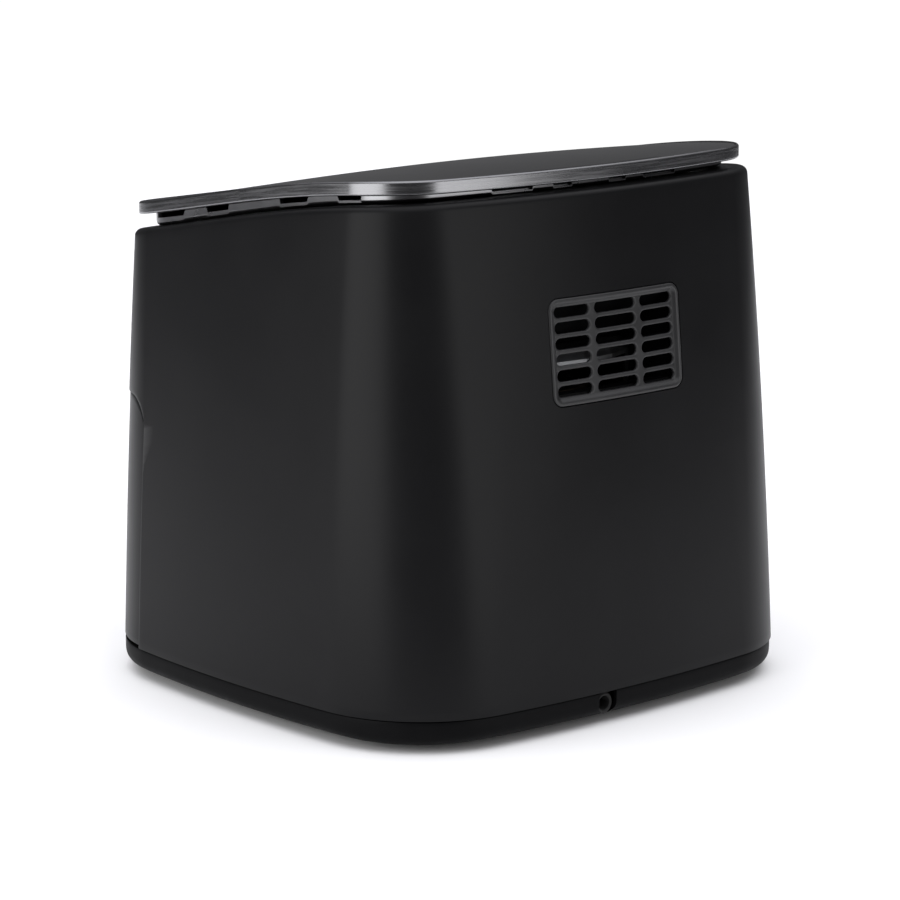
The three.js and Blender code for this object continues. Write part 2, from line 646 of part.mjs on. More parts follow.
function makeBasePan() {
  const outer = loft([...baseTurns.map((turn) => baseRing(turn, 0)).reverse(), bandTop(0)], false);
  const hollow = loft([
    ...[1, 0.5, 0].map((step) => baseRing(step * (Math.PI / 2), BASE_WALL)),
    bandTop(BASE_WALL).map((point) => point.clone().setZ(SEAM_Z + PAST)),
  ], false);
  const plinthBack = BODY_BACK - PLINTH.setback;
  const plinth = box(
    [PLINTH.from, plinthBack - PLINTH.depth, FOOT_HEIGHT - PLINTH.drop],
    [PLINTH.to, plinthBack, FOOT_HEIGHT + BASE_WALL / 2],
  );
  let pan = outer.subtract(hollow).add(plinth.intersect(bodyFootprint(PLINTH.edge)));
  BASE_SCREWS.forEach(([x, y]) => {
    const bossTop = SEAM_Z - BOSS_SPLIT - GAP;
    const shank = BASE_SCREW_SHANK + GAP;
    pan = pan.add(rod(BOSS_RADIUS, FOOT_HEIGHT + BASE_WALL / 2, bossTop, x, y, SMALL_ROUND));
    pan = pan.subtract(rod(BASE_SCREW_HEAD + GAP, 0, FOOT_HEIGHT + BASE_SCREW_SINK, x, y, SMALL_ROUND));
    pan = pan.subtract(rod(shank, 0, SEAM_Z, x, y, SMALL_ROUND));
  });
  FEET.forEach(([x, y]) => {
    pan = pan.subtract(rod(FOOT_PEG + GAP, 0, FOOT_HEIGHT + BASE_WALL + PAST, x, y, SMALL_ROUND));
  });
  const half = GLAND_RADIUS + GAP;
  const near = BODY_BACK - GLAND_SETBACK - GLAND_LENGTH - PAST;
  const far = BODY_BACK + PAST;
  const cordHole = alongY(rod(half, near, far, 0, 0, SMALL_ROUND), CORD_X, CORD_Z);
  const cordSlot = box([CORD_X - half, near, CORD_Z], [CORD_X + half, far, SEAM_Z]);
  addPart('base_pan', pan.subtract(cordHole).subtract(cordSlot), blackPlastic);
}

function bodyFootprint(inset) {
  return loft([ring(SEAM_SHAPE, inset, 0), ring(SEAM_SHAPE, inset, SEAM_Z)], false);
}

function makeFeet() {
  const names = ['front_right', 'front_left', 'rear_left', 'rear_right'];
  FEET.forEach(([x, y], i) => {
    const top = FOOT_HEIGHT - GAP;
    const tip = FOOT_HEIGHT + BASE_WALL + FOOT_PEG_RISE;
    const profile = [[0, 0], [FOOT_RADIUS - 1, 0], [FOOT_RADIUS, 1], [FOOT_RADIUS, top]];
    profile.push([FOOT_PEG, top], [FOOT_PEG, tip], [0, tip]);
    addPart(`foot_${names[i]}`, turned(profile, x, y, ROUND), rubber);
  });
}

function makeBaseScrews() {
  BASE_SCREWS.forEach(([x, y], i) => {
    const low = FOOT_HEIGHT + BASE_SCREW_SINK - BASE_SCREW_HEAD_TALL;
    const neck = FOOT_HEIGHT + BASE_SCREW_SINK - GAP;
    const profile = [[0, low], [BASE_SCREW_HEAD, low], [BASE_SCREW_HEAD, neck]];
    profile.push([BASE_SCREW_SHANK, neck], [BASE_SCREW_SHANK, FLOOR_FRAME_Z], [0, FLOOR_FRAME_Z]);
    addPart(`base_screw_${i + 1}`, turned(profile, x, y, SMALL_ROUND), screwSteel);
  });
}

function makeCordGland() {
  const back = BODY_BACK - GLAND_SETBACK;
  const gland = tubeRing(CORD_BORE, GLAND_RADIUS, back - GLAND_LENGTH, back, 0, 0, SMALL_ROUND);
  addPart('cord_gland', alongY(gland, CORD_X, CORD_Z), rubber);
}

// A sill plate under the chamber and the drawer, with a boss round each base screw.
function makeFloorFrame() {
  const low = FLOOR_FRAME_Z;
  const high = low + FLOOR_FRAME_THICKNESS;
  const outline = (height) => ring(SEAM_SHAPE, FLOOR_FRAME_INSET, height);
  let frame = loft([outline(low), outline(high)], false);
  frame = frame.subtract(box(
    [-BODY_WIDTH / 2 + FLOOR_OPENING.side, BODY_FRONT + FLOOR_OPENING.front, low - PAST],
    [BODY_WIDTH / 2 - FLOOR_OPENING.side, BODY_BACK - FLOOR_OPENING.back, high + PAST],
  ));
  BASE_SCREWS.forEach(([x, y]) => {
    frame = frame.add(rod(BOSS_RADIUS - 1, SEAM_Z - BOSS_SPLIT, low + GAP, x, y, SMALL_ROUND));
    frame = frame.subtract(rod(BASE_SCREW_SHANK + GAP, 0, SEAM_Z + PAST, x, y, SMALL_ROUND));
  });
  addPart('floor_frame', frame, blackPlastic);
}

// ---------- Chamber ----------
// The bulkhead behind the drawer front, with a shelf that closes the body above the drawer.
function makeFrontFrame() {
  const low = CHAMBER_FLOOR;
  const shelf = DRAWER_TOP + SHELF_GAP;
  const near = EDGE_Y + 1;
  const far = near + FRAME_WEB;
  const upright = box([-BODY_WIDTH, near, low], [BODY_WIDTH, far, shelf + FRAME_WEB]);
  const cover = box([-BODY_WIDTH, BODY_FRONT, shelf], [BODY_WIDTH, far, shelf + FRAME_WEB]);
  const doorway = box(
    [-CHAMBER_HALF, near - PAST, low - PAST],
    [CHAMBER_HALF, far + PAST, ROOF - SHEET],
  );
  const hole = rod(PLUNGER_RADIUS + 2 * GAP, near - PAST, far + PAST, 0, 0, SMALL_ROUND);
  const plungerHole = alongY(hole, SWITCH_X, SWITCH_Z);
  const frame = upright.add(cover).intersect(bodyEnvelope(WALL + 2 * GAP));
  addPart('front_frame', frame.subtract(doorway).subtract(plungerHole), blackPlastic);
}

function chamberShape(margin, front) {
  const half = CHAMBER_HALF + margin;
  const back = CHAMBER_BACK + margin;
  const radius = CHAMBER_CORNER + margin;
  const shape = new THREE.Shape();
  shape.moveTo(-half, front);
  shape.lineTo(half, front);
  shape.lineTo(half, back - radius);
  shape.absarc(half - radius, back - radius, radius, 0, Math.PI / 2);
  shape.lineTo(-half + radius, back);
  shape.absarc(-half + radius, back - radius, radius, Math.PI / 2, Math.PI);
  return shape;
}

// Three sheets: the floor, the wall round the sides and the back, and the roof with its air hole.
function makeChamber() {
  const plan = chamberShape(SHEET, CHAMBER_FRONT);
  addPart('chamber_floor', prismZ(plan, CHAMBER_FLOOR, CHAMBER_FLOOR + SHEET), sheetSteel);
  const low = CHAMBER_FLOOR + SHEET + GAP;
  const high = ROOF - SHEET - GAP;
  const inside = prismZ(chamberShape(0, CHAMBER_FRONT - PAST), low - PAST, high + PAST);
  addPart('chamber_wall', prismZ(plan, low, high).subtract(inside), sheetSteel);
  const airHole = rod(DISH_RADIUS - ROOF_LEDGE, ROOF - PAST, ROOF + PAST, 0, FAN_Y);
  addPart('chamber_roof', prismZ(plan, ROOF - SHEET, ROOF).subtract(airHole), sheetSteel);
}

function makeRails() {
  [['left', -1], ['right', 1]].forEach(([side, sign]) => {
    const near = sign * (CHAMBER_HALF - GAP);
    const far = sign * (CHAMBER_HALF - GAP - RAIL_WIDTH);
    const rail = box(
      [Math.min(near, far), CHAMBER_FRONT + 2, RAIL_TOP - RAIL_HEIGHT],
      [Math.max(near, far), CHAMBER_BACK - CHAMBER_CORNER, RAIL_TOP],
    );
    addPart(`drawer_rail_${side}`, rail, sheetSteel);
  });
}

const SWITCH_X = CHAMBER_HALF + SWITCH_OUT;
const SWITCH_Z = CHAMBER_FLOOR + SWITCH_RISE;

function makeDrawerSwitch() {
  const front = EDGE_Y + 1 + FRAME_WEB + 2 * GAP;
  const shell = box([SWITCH_X - 4, front, SWITCH_Z - 5], [SWITCH_X + 4, front + 18, SWITCH_Z + 5]);
  const guide = rod(PLUNGER_RADIUS + GAP, front - PAST, front + 12, 0, 0, SMALL_ROUND);
  addPart('drawer_switch', shell.subtract(alongY(guide, SWITCH_X, SWITCH_Z)), blackPlastic);
  const tip = EDGE_Y - DRAWER_REVEAL - 0.7;
  const tail = front + 12 - PLUNGER_TRAVEL - GAP;
  const plunger = rod(PLUNGER_RADIUS, tip, tail, 0, 0, SMALL_ROUND);
  addPart('switch_plunger', alongY(plunger, SWITCH_X, SWITCH_Z), screwSteel);
}

// ---------- Heater ----------
function makeHeaterDish() {
  const low = ROOF + GAP;
  const inner = DISH_RADIUS - SHEET;
  const outer = DISH_RADIUS + DISH_FLANGE;
  const shoulder = DISH_TOP - DISH_BEVEL;
  const profile = [[inner, low], [outer, low], [outer, low + SHEET], [DISH_RADIUS, low + SHEET]];
  profile.push([DISH_RADIUS, shoulder], [DISH_RADIUS - DISH_BEVEL, DISH_TOP]);
  profile.push([SHAFT_RADIUS * 2, DISH_TOP], [SHAFT_RADIUS * 2, DISH_TOP - SHEET]);
  profile.push([inner - DISH_BEVEL, DISH_TOP - SHEET], [inner, shoulder - SHEET / 2], [inner, low]);
  let dish = turned(profile, 0, FAN_Y, DISH_ROUND);
  const window = DUCT_HALF - 2;
  const sill = low + 10;
  dish = dish.subtract(box([-window, FAN_Y, sill], [window, FAN_Y + outer, shoulder - 2]));
  const below = DISH_TOP - PAST;
  const above = DISH_TOP + PAST;
  elementTerminals().forEach(([x, y]) => {
    dish = dish.subtract(rod(ELEMENT_RADIUS + 1, below, above, x, y, SMALL_ROUND));
  });
  dish = dish.subtract(rod(SENSOR_RADIUS + 0.5, below, above, ...SENSOR_PLACE, SMALL_ROUND));
  addPart('heater_dish', dish, sheetSteel);
}

const aroundFan = (radius, angle) =>
  [radius * Math.cos(angle), FAN_Y + radius * Math.sin(angle)];
const SENSOR_PLACE = aroundFan(ELEMENT_TURN, 0);

const elementTerminals = () =>
  [ELEMENT_TURN, ELEMENT_TURN - ELEMENT_PITCH].map((radius) => aroundFan(radius, ELEMENT_START));

// A tube bent into an outer turn, a hairpin and an inner turn back, with both ends turned up.
class ElementCurve extends THREE.Curve {
  getPoint(t) {
    const [first, last] = elementTerminals();
    const rise = DISH_TOP + TERMINAL_RISE - ELEMENT_Z;
    const inner = ELEMENT_TURN - ELEMENT_PITCH;
    const reach = [0.07, 0.52, 0.56, 0.93];
    if (t < reach[0]) {
      return new THREE.Vector3(first[0], first[1], ELEMENT_Z + rise * (1 - t / reach[0]));
    }
    if (t > reach[3]) {
      const up = (t - reach[3]) / (1 - reach[3]);
      return new THREE.Vector3(last[0], last[1], ELEMENT_Z + rise * up);
    }
    let radius = ELEMENT_TURN;
    let angle = ELEMENT_START + (ELEMENT_SWEEP * (t - reach[0])) / (reach[1] - reach[0]);
    if (t > reach[2]) {
      radius = inner;
      angle = ELEMENT_START + (ELEMENT_SWEEP * (reach[3] - t)) / (reach[3] - reach[2]);
    } else if (t > reach[1]) {
      const turn = (Math.PI * (t - reach[1])) / (reach[2] - reach[1]);
      radius = ELEMENT_TURN - (ELEMENT_PITCH / 2) * (1 - Math.cos(turn));
      angle = ELEMENT_START + ELEMENT_SWEEP + (Math.sin(turn) * ELEMENT_PITCH) / (2 * radius);
    }
    const [x, y] = aroundFan(radius, angle);
    return new THREE.Vector3(x, y, ELEMENT_Z);
  }
}

function makeHeatingElement() {
  const section = new THREE.Shape();
  section.absarc(0, 0, ELEMENT_RADIUS, 0, 2 * Math.PI);
  const path = new THREE.CatmullRomCurve3(new ElementCurve().getPoints(64));
  const options = { steps: 76, extrudePath: path, curveSegments: 3, bevelEnabled: false };
  addPart('heating_element', solid(new THREE.ExtrudeGeometry(section, options)), elementSteel);
}

function makeFanGuard() {
  const low = ROOF + GAP;
  const high = low + GUARD_WIRE;
  const edge = DISH_RADIUS - ROOF_LEDGE;
  let guard = tubeRing(edge - 1, edge + ROOF_LEDGE / 2, low, high, 0, FAN_Y, DISH_ROUND);
  [0.36, 0.68].forEach((share) => {
    const radius = edge * share;
    guard = guard.add(tubeRing(radius - GUARD_WIRE, radius, low, high, 0, FAN_Y, 20));
  });
  for (let i = 0; i < 3; i += 1) {
    const spoke = box([-edge, -GUARD_WIRE / 2, low], [edge, GUARD_WIRE / 2, high]);
    guard = guard.add(spoke.rotate([0, 0, 30 + 60 * i]).translate([0, FAN_Y, 0]));
  }
  addPart('fan_guard', guard, screwSteel);
}

function makeSensors() {
  const probe = rod(SENSOR_RADIUS, HOT_FAN_Z, DISH_TOP + TERMINAL_RISE, ...SENSOR_PLACE, SMALL_ROUND);
  addPart('temperature_sensor', probe, screwSteel);
  const low = DISH_TOP + GAP;
  const { angle, inset, radius, height } = CUTOFF;
  const neck = radius * (2 / 3);
  const middle = low + height / 2;
  const profile = [[0, low], [radius, low], [radius, middle], [neck, middle]];
  profile.push([neck, low + height], [0, low + height]);
  const place = aroundFan(DISH_RADIUS - inset, THREE.MathUtils.degToRad(angle));
  addPart('thermal_cutoff', turned(profile, ...place, SMALL_ROUND), brass);
}

// The duct leads from the dish's back window to the vent, with one vane across it.
function makeExhaustDuct() {
  const reach = (half, low, high, y, margin) => [
    [-half - margin, low - margin], [-half - margin, high + margin],
    [half + margin, high + margin], [half + margin, low - margin],
  ].map(([x, z]) => new THREE.Vector3(x, y, z));
  const near = FAN_Y + DISH_RADIUS - 24;
  const ventLow = VENT_Z - VENT_HEIGHT / 2 + VENT_LIP;
  const ventHigh = VENT_Z + VENT_HEIGHT / 2 - VENT_LIP;
  const ventHalf = VENT_WIDTH / 2 - VENT_LIP;
  const ventStart = BODY_BACK - DUCT_STRAIGHT;
  const dishLow = ROOF + 12;
  const dishHigh = DISH_TOP - DISH_BEVEL - 1;
  const outer = loft([
    reach(DUCT_HALF, dishLow, dishHigh, near, DUCT_WALL),
    reach(ventHalf, ventLow, ventHigh, ventStart, DUCT_WALL),
    reach(ventHalf, ventLow, ventHigh, BODY_BACK, DUCT_WALL),
  ], false);
  const inner = loft([
    reach(DUCT_HALF, dishLow, dishHigh, near - 1, 0),
    reach(ventHalf, ventLow, ventHigh, ventStart, 0),
    reach(ventHalf, ventLow, ventHigh, BODY_BACK + 1, 0),
  ], false);
  const vaneHalf = ventHalf + DUCT_WALL / 2;
  const vane = box(
    [-vaneHalf, ventStart, VENT_Z - VANE.thickness / 2],
    [vaneHalf, ventStart + VANE.depth, VENT_Z + VANE.thickness / 2],
  );
  const dish = rod(DISH_RADIUS + GAP, 0, DISH_TOP + GAP, 0, FAN_Y, DISH_ROUND);
  const flange = rod(DISH_RADIUS + DISH_FLANGE + GAP, 0, ROOF + 2, 0, FAN_Y, DISH_ROUND);
  const duct = outer.subtract(inner).add(vane).intersect(bodyEnvelope(DUCT_SETBACK));
  addPart('exhaust_duct', duct.subtract(dish).subtract(flange), blackPlastic);
}

// ---------- Motor ----------
function makeMotorBracket() {
  const high = BRACKET_Z + BRACKET_THICKNESS;
  let bracket = rod(MOTOR_RADIUS + 4, BRACKET_Z, high);
  for (let i = 0; i < 3; i += 1) {
    const reach = DISH_RADIUS - 14;
    const side = ARM_WIDTH / 2;
    const low = DISH_TOP + GAP;
    const arm = box([0, -side, BRACKET_Z], [reach, side, high]);
    const leg = box([reach - 3, -side, low], [reach, side, high]);
    const foot = box([reach - 3, -side, low], [reach + 7, side, low + 1.5]);
    bracket = bracket.add(arm.add(leg).add(foot).rotate([0, 0, 45 + 120 * i]));
  }
  bracket = bracket.subtract(rod(BEARING_RADIUS + GAP, BRACKET_Z - PAST, high + PAST));
  addPart('motor_bracket', bracket.translate([0, FAN_Y, 0]), sheetSteel);
}

function makeMotor() {
  const low = BRACKET_Z + BRACKET_THICKNESS + GAP;
  const high = MOTOR_TOP;
  const hole = BEARING_RADIUS + GAP;
  const bore = MOTOR_RADIUS - 11;
  const plate = 2.5;
  const profile = [[hole, low], [MOTOR_RADIUS, low], [MOTOR_RADIUS, high], [hole, high]];
  profile.push([hole, high - plate], [bore, high - plate], [bore, low + plate]);
  profile.push([hole, low + plate], [hole, low]);
  addPart('motor_housing', turned(profile, 0, FAN_Y), castAluminium);
  // The shaft's corners clear the bearing's flats by the running clearance.
  const eye = (SHAFT_RADIUS + RUNNING_CLEARANCE) / Math.cos(Math.PI / SHAFT_ROUND);
  const bearing = (z) => tubeRing(eye, BEARING_RADIUS, z, z + BEARING_HEIGHT, 0, FAN_Y, SHAFT_ROUND);
  addPart('lower_bearing', bearing(BRACKET_Z), brass);
  addPart('upper_bearing', bearing(high - BEARING_HEIGHT + 1), brass);
}

function makeRotor() {
  const top = MOTOR_TOP + 5;
  addPart('motor_shaft', rod(SHAFT_RADIUS, SHAFT_LOW, top, 0, FAN_Y, SHAFT_ROUND), screwSteel);
  const fit = SHAFT_RADIUS + GAP;
  const coreLow = BRACKET_Z + BEARING_HEIGHT + 1.2;
  const coreHigh = MOTOR_TOP - BEARING_HEIGHT - 0.2;
  addPart('rotor_core', tubeRing(fit, MOTOR_RADIUS - 12, coreLow, coreHigh, 0, FAN_Y), elementSteel);
}

// A fan: a hub and a back plate with straight vanes leaning away from the radius.
function fanWheel(radius, low, height, vanes, lean, hubRadius) {
  const plate = 1.2;
  let wheel = rod(radius, low + height - plate, low + height, 0, 0, 32);
  wheel = wheel.add(rod(hubRadius, low, low + height, 0, 0, 16));
  for (let i = 0; i < vanes; i += 1) {
    const vane = box([0, -0.8, low], [radius - hubRadius - 1, 0.8, low + height - plate / 2]);
    const leaned = vane.rotate([0, 0, lean]).translate([hubRadius - 1, 0, 0]);
    wheel = wheel.add(leaned.rotate([0, 0, (360 * i) / vanes]));
  }
  const bore = rod(SHAFT_RADIUS + GAP, low - PAST, low + height + PAST, 0, 0, SHAFT_ROUND);
  return wheel.subtract(bore).translate([0, FAN_Y, 0]);
}

function makeFans() {
  const hot = fanWheel(HOT_FAN_RADIUS, HOT_FAN_Z, HOT_FAN_HEIGHT, 8, 20, 11);
  addPart('hot_air_fan', hot, castAluminium);
  const cool = fanWheel(COOLING_FAN_RADIUS, COOLING_FAN_Z, COOLING_FAN_HEIGHT, 7, 20, 10);
  addPart('cooling_fan', cool, blackPlastic);
  const nutTop = HOT_FAN_Z - GAP;
  const nut = rod(SHAFT_RADIUS + 3.5, nutTop - 5, nutTop, 0, FAN_Y, 6);
  const nutHole = rod(SHAFT_RADIUS + GAP, nutTop - 2 * PAST, nutTop + PAST, 0, FAN_Y, SHAFT_ROUND);
  addPart('fan_nut', nut.subtract(nutHole), screwSteel);
}

// ---------- Boards ----------
function makeBoards() {
  const boardY = BODY_FRONT + 72;
  const slope = LID_CURVE.slope - 2 * LID_CURVE.crown * boardY - 3 * LID_CURVE.droop * boardY ** 2;
  const tilt = THREE.MathUtils.radToDeg(Math.atan(slope));
  const place = [0, boardY, onLid(-7.5)(boardY)];
  const control = box([-70, -26, 0], [70, 26, 1.6]).rotate([tilt, 0, 0]).translate(place);
  addPart('control_board', control, boardGreen);
  const display = box([-44, -16, 1.6 + GAP], [44, 16, 6]).rotate([tilt, 0, 0]).translate(place);
  addPart('display_module', display, blackPlastic);
  const boardZ = MOTOR_TOP + 11;
  const backY = FAN_Y + 52;
  let power = box([-60, backY - 24, boardZ], [60, backY + 24, boardZ + 1.6]);
  power = power.add(box([-52, backY - 14, boardZ + 1], [-28, backY + 10, boardZ + 12]));
  power = power.add(box([-18, backY - 8, boardZ + 1], [4, backY + 8, boardZ + 10]));
  power = power.add(rod(6, boardZ + 1, boardZ + 12, 24, backY, 12));
  addPart('power_board', power, boardGreen);
}

// ---------- Drawer ----------
function makeDrawerFront() {
  const back = EDGE_Y - DRAWER_REVEAL;
  const low = SEAM_Z + SILL_GAP;
  const profile = drawerProfile(back, low, DRAWER_TOP - DRAWER_REVEAL, DRAWER_CORNER);
  let front = bodySkin(DRAWER_SETBACK, DRAWER_SETBACK + DRAWER_SKIN).intersect(acrossBody(profile));
  handleScrewHoles().forEach((hole) => {
    front = front.subtract(hole);
  });
  addPart('drawer_front', front, blackPaint);
}

const STEM_X = HANDLE_WIDTH / 2 - STEM_WIDTH / 2;

const SCREW_TIP = BODY_FRONT - 12;
const handleScrewHoles = () => [-STEM_X, STEM_X].map((x) => {
  const hole = rod(HANDLE_SCREW_SHANK + GAP, SCREW_TIP - 2, PAN_FRONT, 0, 0, SMALL_ROUND);
  return alongY(hole, x, HANDLE_Z);
});

// A rim inside the drawer front's back edge, round the pan.
function makeDrawerFrame() {
  const back = EDGE_Y - DRAWER_REVEAL - 1.2;
  const low = CHAMBER_FLOOR + 0.3;
  const rim = acrossBody(drawerProfile(back, low, DRAWER_TOP - 3.2, DRAWER_CORNER - 2));
  const slab = box([-BODY_WIDTH, back - 3, 0], [BODY_WIDTH, back, BODY_HEIGHT]);
  const passage = box([-FLANGE_HALF - 1, back - 10, low + 2.2], [FLANGE_HALF + 1, back + 10, BODY_HEIGHT]);
  const inside = bodyEnvelope(DRAWER_SETBACK + DRAWER_SKIN + GAP);
  addPart('drawer_frame', slab.intersect(rim).intersect(inside).subtract(passage), blackPlastic);
}

function panRing(halfWidth, margin, height, corner) {
  const shape = roundedBox(
    -halfWidth, PAN_FRONT - margin, halfWidth, PAN_BACK + margin, corner,
  );
  return shape.getPoints(3).map((point) => new THREE.Vector3(point.x, point.y, height));
}

// Drops a point that repeats the one before it.
const distinct = (points) => points.filter((point, i) =>
  point.distanceTo(points[(i + points.length - 1) % points.length]) > 1e-6);

function makeDrawerPan() {
  const floor = PAN_HALF - PAN_TAPER;
  const bottom = floor - PAN_BEVEL;
  const under = PAN_RIM - PAN_WALL;
  const rimCorner = PAN_CORNER + PAN_LIP;
  const rings = [
    panRing(bottom, -PAN_TAPER - PAN_BEVEL, PAN_FLOOR, PAN_CORNER),
    panRing(floor, -PAN_TAPER, PAN_FLOOR + PAN_BEVEL, PAN_CORNER),
    panRing(PAN_HALF, 0, under, PAN_CORNER),
    panRing(FLANGE_HALF, PAN_LIP, under, rimCorner),
    panRing(FLANGE_HALF, PAN_LIP, PAN_RIM, rimCorner),
  ].map(distinct);
  const inside = PAN_CORNER - PAN_WALL;
  const inner = [
    panRing(bottom, -PAN_TAPER - PAN_BEVEL, PAN_FLOOR + PAN_WALL, inside),
    panRing(floor - PAN_WALL, -PAN_TAPER - PAN_WALL, PAN_FLOOR + PAN_BEVEL + PAN_WALL, inside),
    panRing(PAN_HALF - PAN_WALL, -PAN_WALL, PAN_RIM + 1, inside),
  ].map(distinct);
  addPart('drawer_pan', loft(rings, false).subtract(loft(inner, false)), nonStick);
}

function makeHandle() {
  const half = HANDLE_WIDTH / 2;
  const low = HANDLE_Z - HANDLE_TALL / 2;
  const high = HANDLE_Z + HANDLE_TALL / 2;
  const inside = BODY_FRONT + 20;
  const outer = roundedBox(-half, GRIP_FRONT, half, inside, HANDLE_CORNER);
  const inner = roundedBox(
    -half + STEM_WIDTH,
    GRIP_FRONT + GRIP_THICKNESS,
    half - STEM_WIDTH,
    inside + FINGER_CORNER,
    FINGER_CORNER,
  );
  let handle = prismZ(outer, low, high).subtract(prismZ(inner, low - PAST, high + PAST));
  // A lying bar with round edges shapes the grip's upper and lower edges.
  const section = roundedBox(GRIP_FRONT, low, inside + HANDLE_REACH, high, HANDLE_ROUNDING);
  handle = handle.intersect(prismX(section, -half - PAST, half + PAST));
  handle = handle.subtract(bodyEnvelope(DRAWER_SETBACK - GAP));
  handleScrewHoles().forEach((hole) => {
    handle = handle.subtract(hole);
  });
  const trim = (margin) => roundedBox(
    -TRIM_HALF.x - margin,
    HANDLE_Z - TRIM_HALF.z - margin,
    TRIM_HALF.x + margin,
    HANDLE_Z + TRIM_HALF.z + margin,
    TRIM_HALF.z,
  );
  const recess = prismY(trim(GAP), GRIP_FRONT - PAST, GRIP_FRONT + TRIM_THICKNESS + GAP);
  addPart('handle', handle.subtract(recess), blackPlastic);
  addPart('handle_trim', prismY(trim(0), GRIP_FRONT, GRIP_FRONT + TRIM_THICKNESS), gunmetal);
}

// A steel plate behind the drawer front; the handle screws pass through it.
function makeHandleBracket() {
  const plateBack = PAN_FRONT - 6.2;
  const inside = bodyEnvelope(DRAWER_SETBACK + DRAWER_SKIN + GAP);
  const plateHalf = HANDLE_WIDTH / 2 + HANDLE_PLATE.side;
  let plate = box(
    [-plateHalf, BODY_FRONT, HANDLE_Z - HANDLE_PLATE.tall / 2],
    [plateHalf, plateBack, HANDLE_Z + HANDLE_PLATE.tall / 2],
  ).intersect(inside);
  handleScrewHoles().forEach((hole) => {
    plate = plate.subtract(hole);
  });
  addPart('handle_bracket', plate, sheetSteel);
  [['left', -1], ['right', 1]].forEach(([side, sign]) => {
    const low = plateBack + GAP;
    const high = low + HANDLE_SCREW_HEAD_TALL;
    const profile = [[0, SCREW_TIP], [HANDLE_SCREW_SHANK, SCREW_TIP], [HANDLE_SCREW_SHANK, low]];
    profile.push([HANDLE_SCREW_HEAD, low], [HANDLE_SCREW_HEAD, high], [0, high]);
    const screw = alongY(turned(profile, 0, 0, SMALL_ROUND), sign * STEM_X, HANDLE_Z);
    addPart(`handle_screw_${side}`, screw, screwSteel);
  });
}

// ---------- Crisper plate ----------
const PLATE_HALF = PAN_HALF - PAN_TAPER - PLATE_SPACE;
const PLATE_FRONT = PAN_FRONT + PAN_TAPER + PLATE_SPACE;
const PLATE_BACK = PAN_BACK - PAN_TAPER - PLATE_SPACE;

function makeCrisperPlate() {
  const corner = PAN_CORNER - 6;
  const outline = roundedBox(-PLATE_HALF, PLATE_FRONT, PLATE_HALF, PLATE_BACK, corner);
  let plate = prismZ(outline, PLATE_Z, PLATE_Z + PLATE_THICKNESS);
  const columns = Math.floor((2 * PLATE_HALF - PLATE_MARGIN) / HOLE.stepX);
  const rows = Math.floor((PLATE_BACK - PLATE_FRONT - PLATE_MARGIN) / HOLE.stepY);
  const middleY = (PLATE_FRONT + PLATE_BACK) / 2;
  for (let row = 0; row < rows; row += 1) {
    for (let column = 0; column < columns; column += 1) {
      const x = (column - (columns - 1) / 2) * HOLE.stepX;
      const y = middleY + (row - (rows - 1) / 2) * HOLE.stepY;
      const nearBumper = bumperPlaces().some(([bumperX, bumperY]) =>
        Math.abs(x - bumperX) < HOLE.length / 2 + BUMPER.radius + 2
        && Math.abs(y - bumperY) < HOLE.width / 2 + BUMPER.radius + 2);
      if (!nearBumper) {
        const slot = slotShape(x, y, HOLE.length, HOLE.width);
        plate = plate.subtract(prismZ(slot, PLATE_Z - PAST, PLATE_Z + PAST));
      }
    }
  }
  bumperPlaces().forEach(([x, y]) => {
    plate = plate.subtract(rod(BUMPER.neck + GAP, PLATE_Z - PAST, PLATE_Z + PAST, x, y, SMALL_ROUND));
  });
  addPart('crisper_plate', plate, nonStick);
}

const bumperPlaces = () => [
  [PLATE_HALF - BUMPER.inset, PLATE_FRONT + BUMPER.inset],
  [-PLATE_HALF + BUMPER.inset, PLATE_FRONT + BUMPER.inset],
  [-PLATE_HALF + BUMPER.inset, PLATE_BACK - BUMPER.inset],
  [PLATE_HALF - BUMPER.inset, PLATE_BACK - BUMPER.inset],
];

function makeBumpers() {
  const names = ['front_right', 'front_left', 'rear_left', 'rear_right'];
  const low = PAN_FLOOR + PAN_WALL + GAP;
  bumperPlaces().forEach(([x, y], i) => {
    const under = PLATE_Z - GAP;
    const top = PLATE_Z + PLATE_THICKNESS + BUMPER.proud;
    const { radius, bevel, neck } = BUMPER;
    const profile = [[0, low], [radius - bevel, low], [radius, low + bevel], [radius, under]];
    profile.push([neck, under], [neck, top], [0, top]);
    addPart(`crisper_foot_${names[i]}`, turned(profile, x, y, SMALL_ROUND), silicone);
  });
}

makeBodyShell();
makeVentGrille();
makeInletNeck();
makeLidRim();
makeLidSheets();
makeBasePan();
makeFeet();
makeBaseScrews();
makeCordGland();
makeFloorFrame();
makeFrontFrame();
makeChamber();
makeRails();
makeDrawerSwitch();
makeHeaterDish();
makeHeatingElement();
makeFanGuard();
makeSensors();
makeExhaustDuct();
makeMotorBracket();
makeMotor();
makeRotor();
makeFans();
makeBoards();
makeDrawerFront();
makeDrawerFrame();
makeDrawerPan();
makeHandle();
makeHandleBracket();
makeCrisperPlate();
makeBumpers();

export default group;
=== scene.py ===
# %% [markdown]
# # A single-drawer air fryer
# The sizes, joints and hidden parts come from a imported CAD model. What is seen from outside is made
# again here as smooth surfaces: most are one outline carried up, round or across, so numpy can work
# out all the points of a piece at once. The rest of the CAD parts stay, and only get a finish.

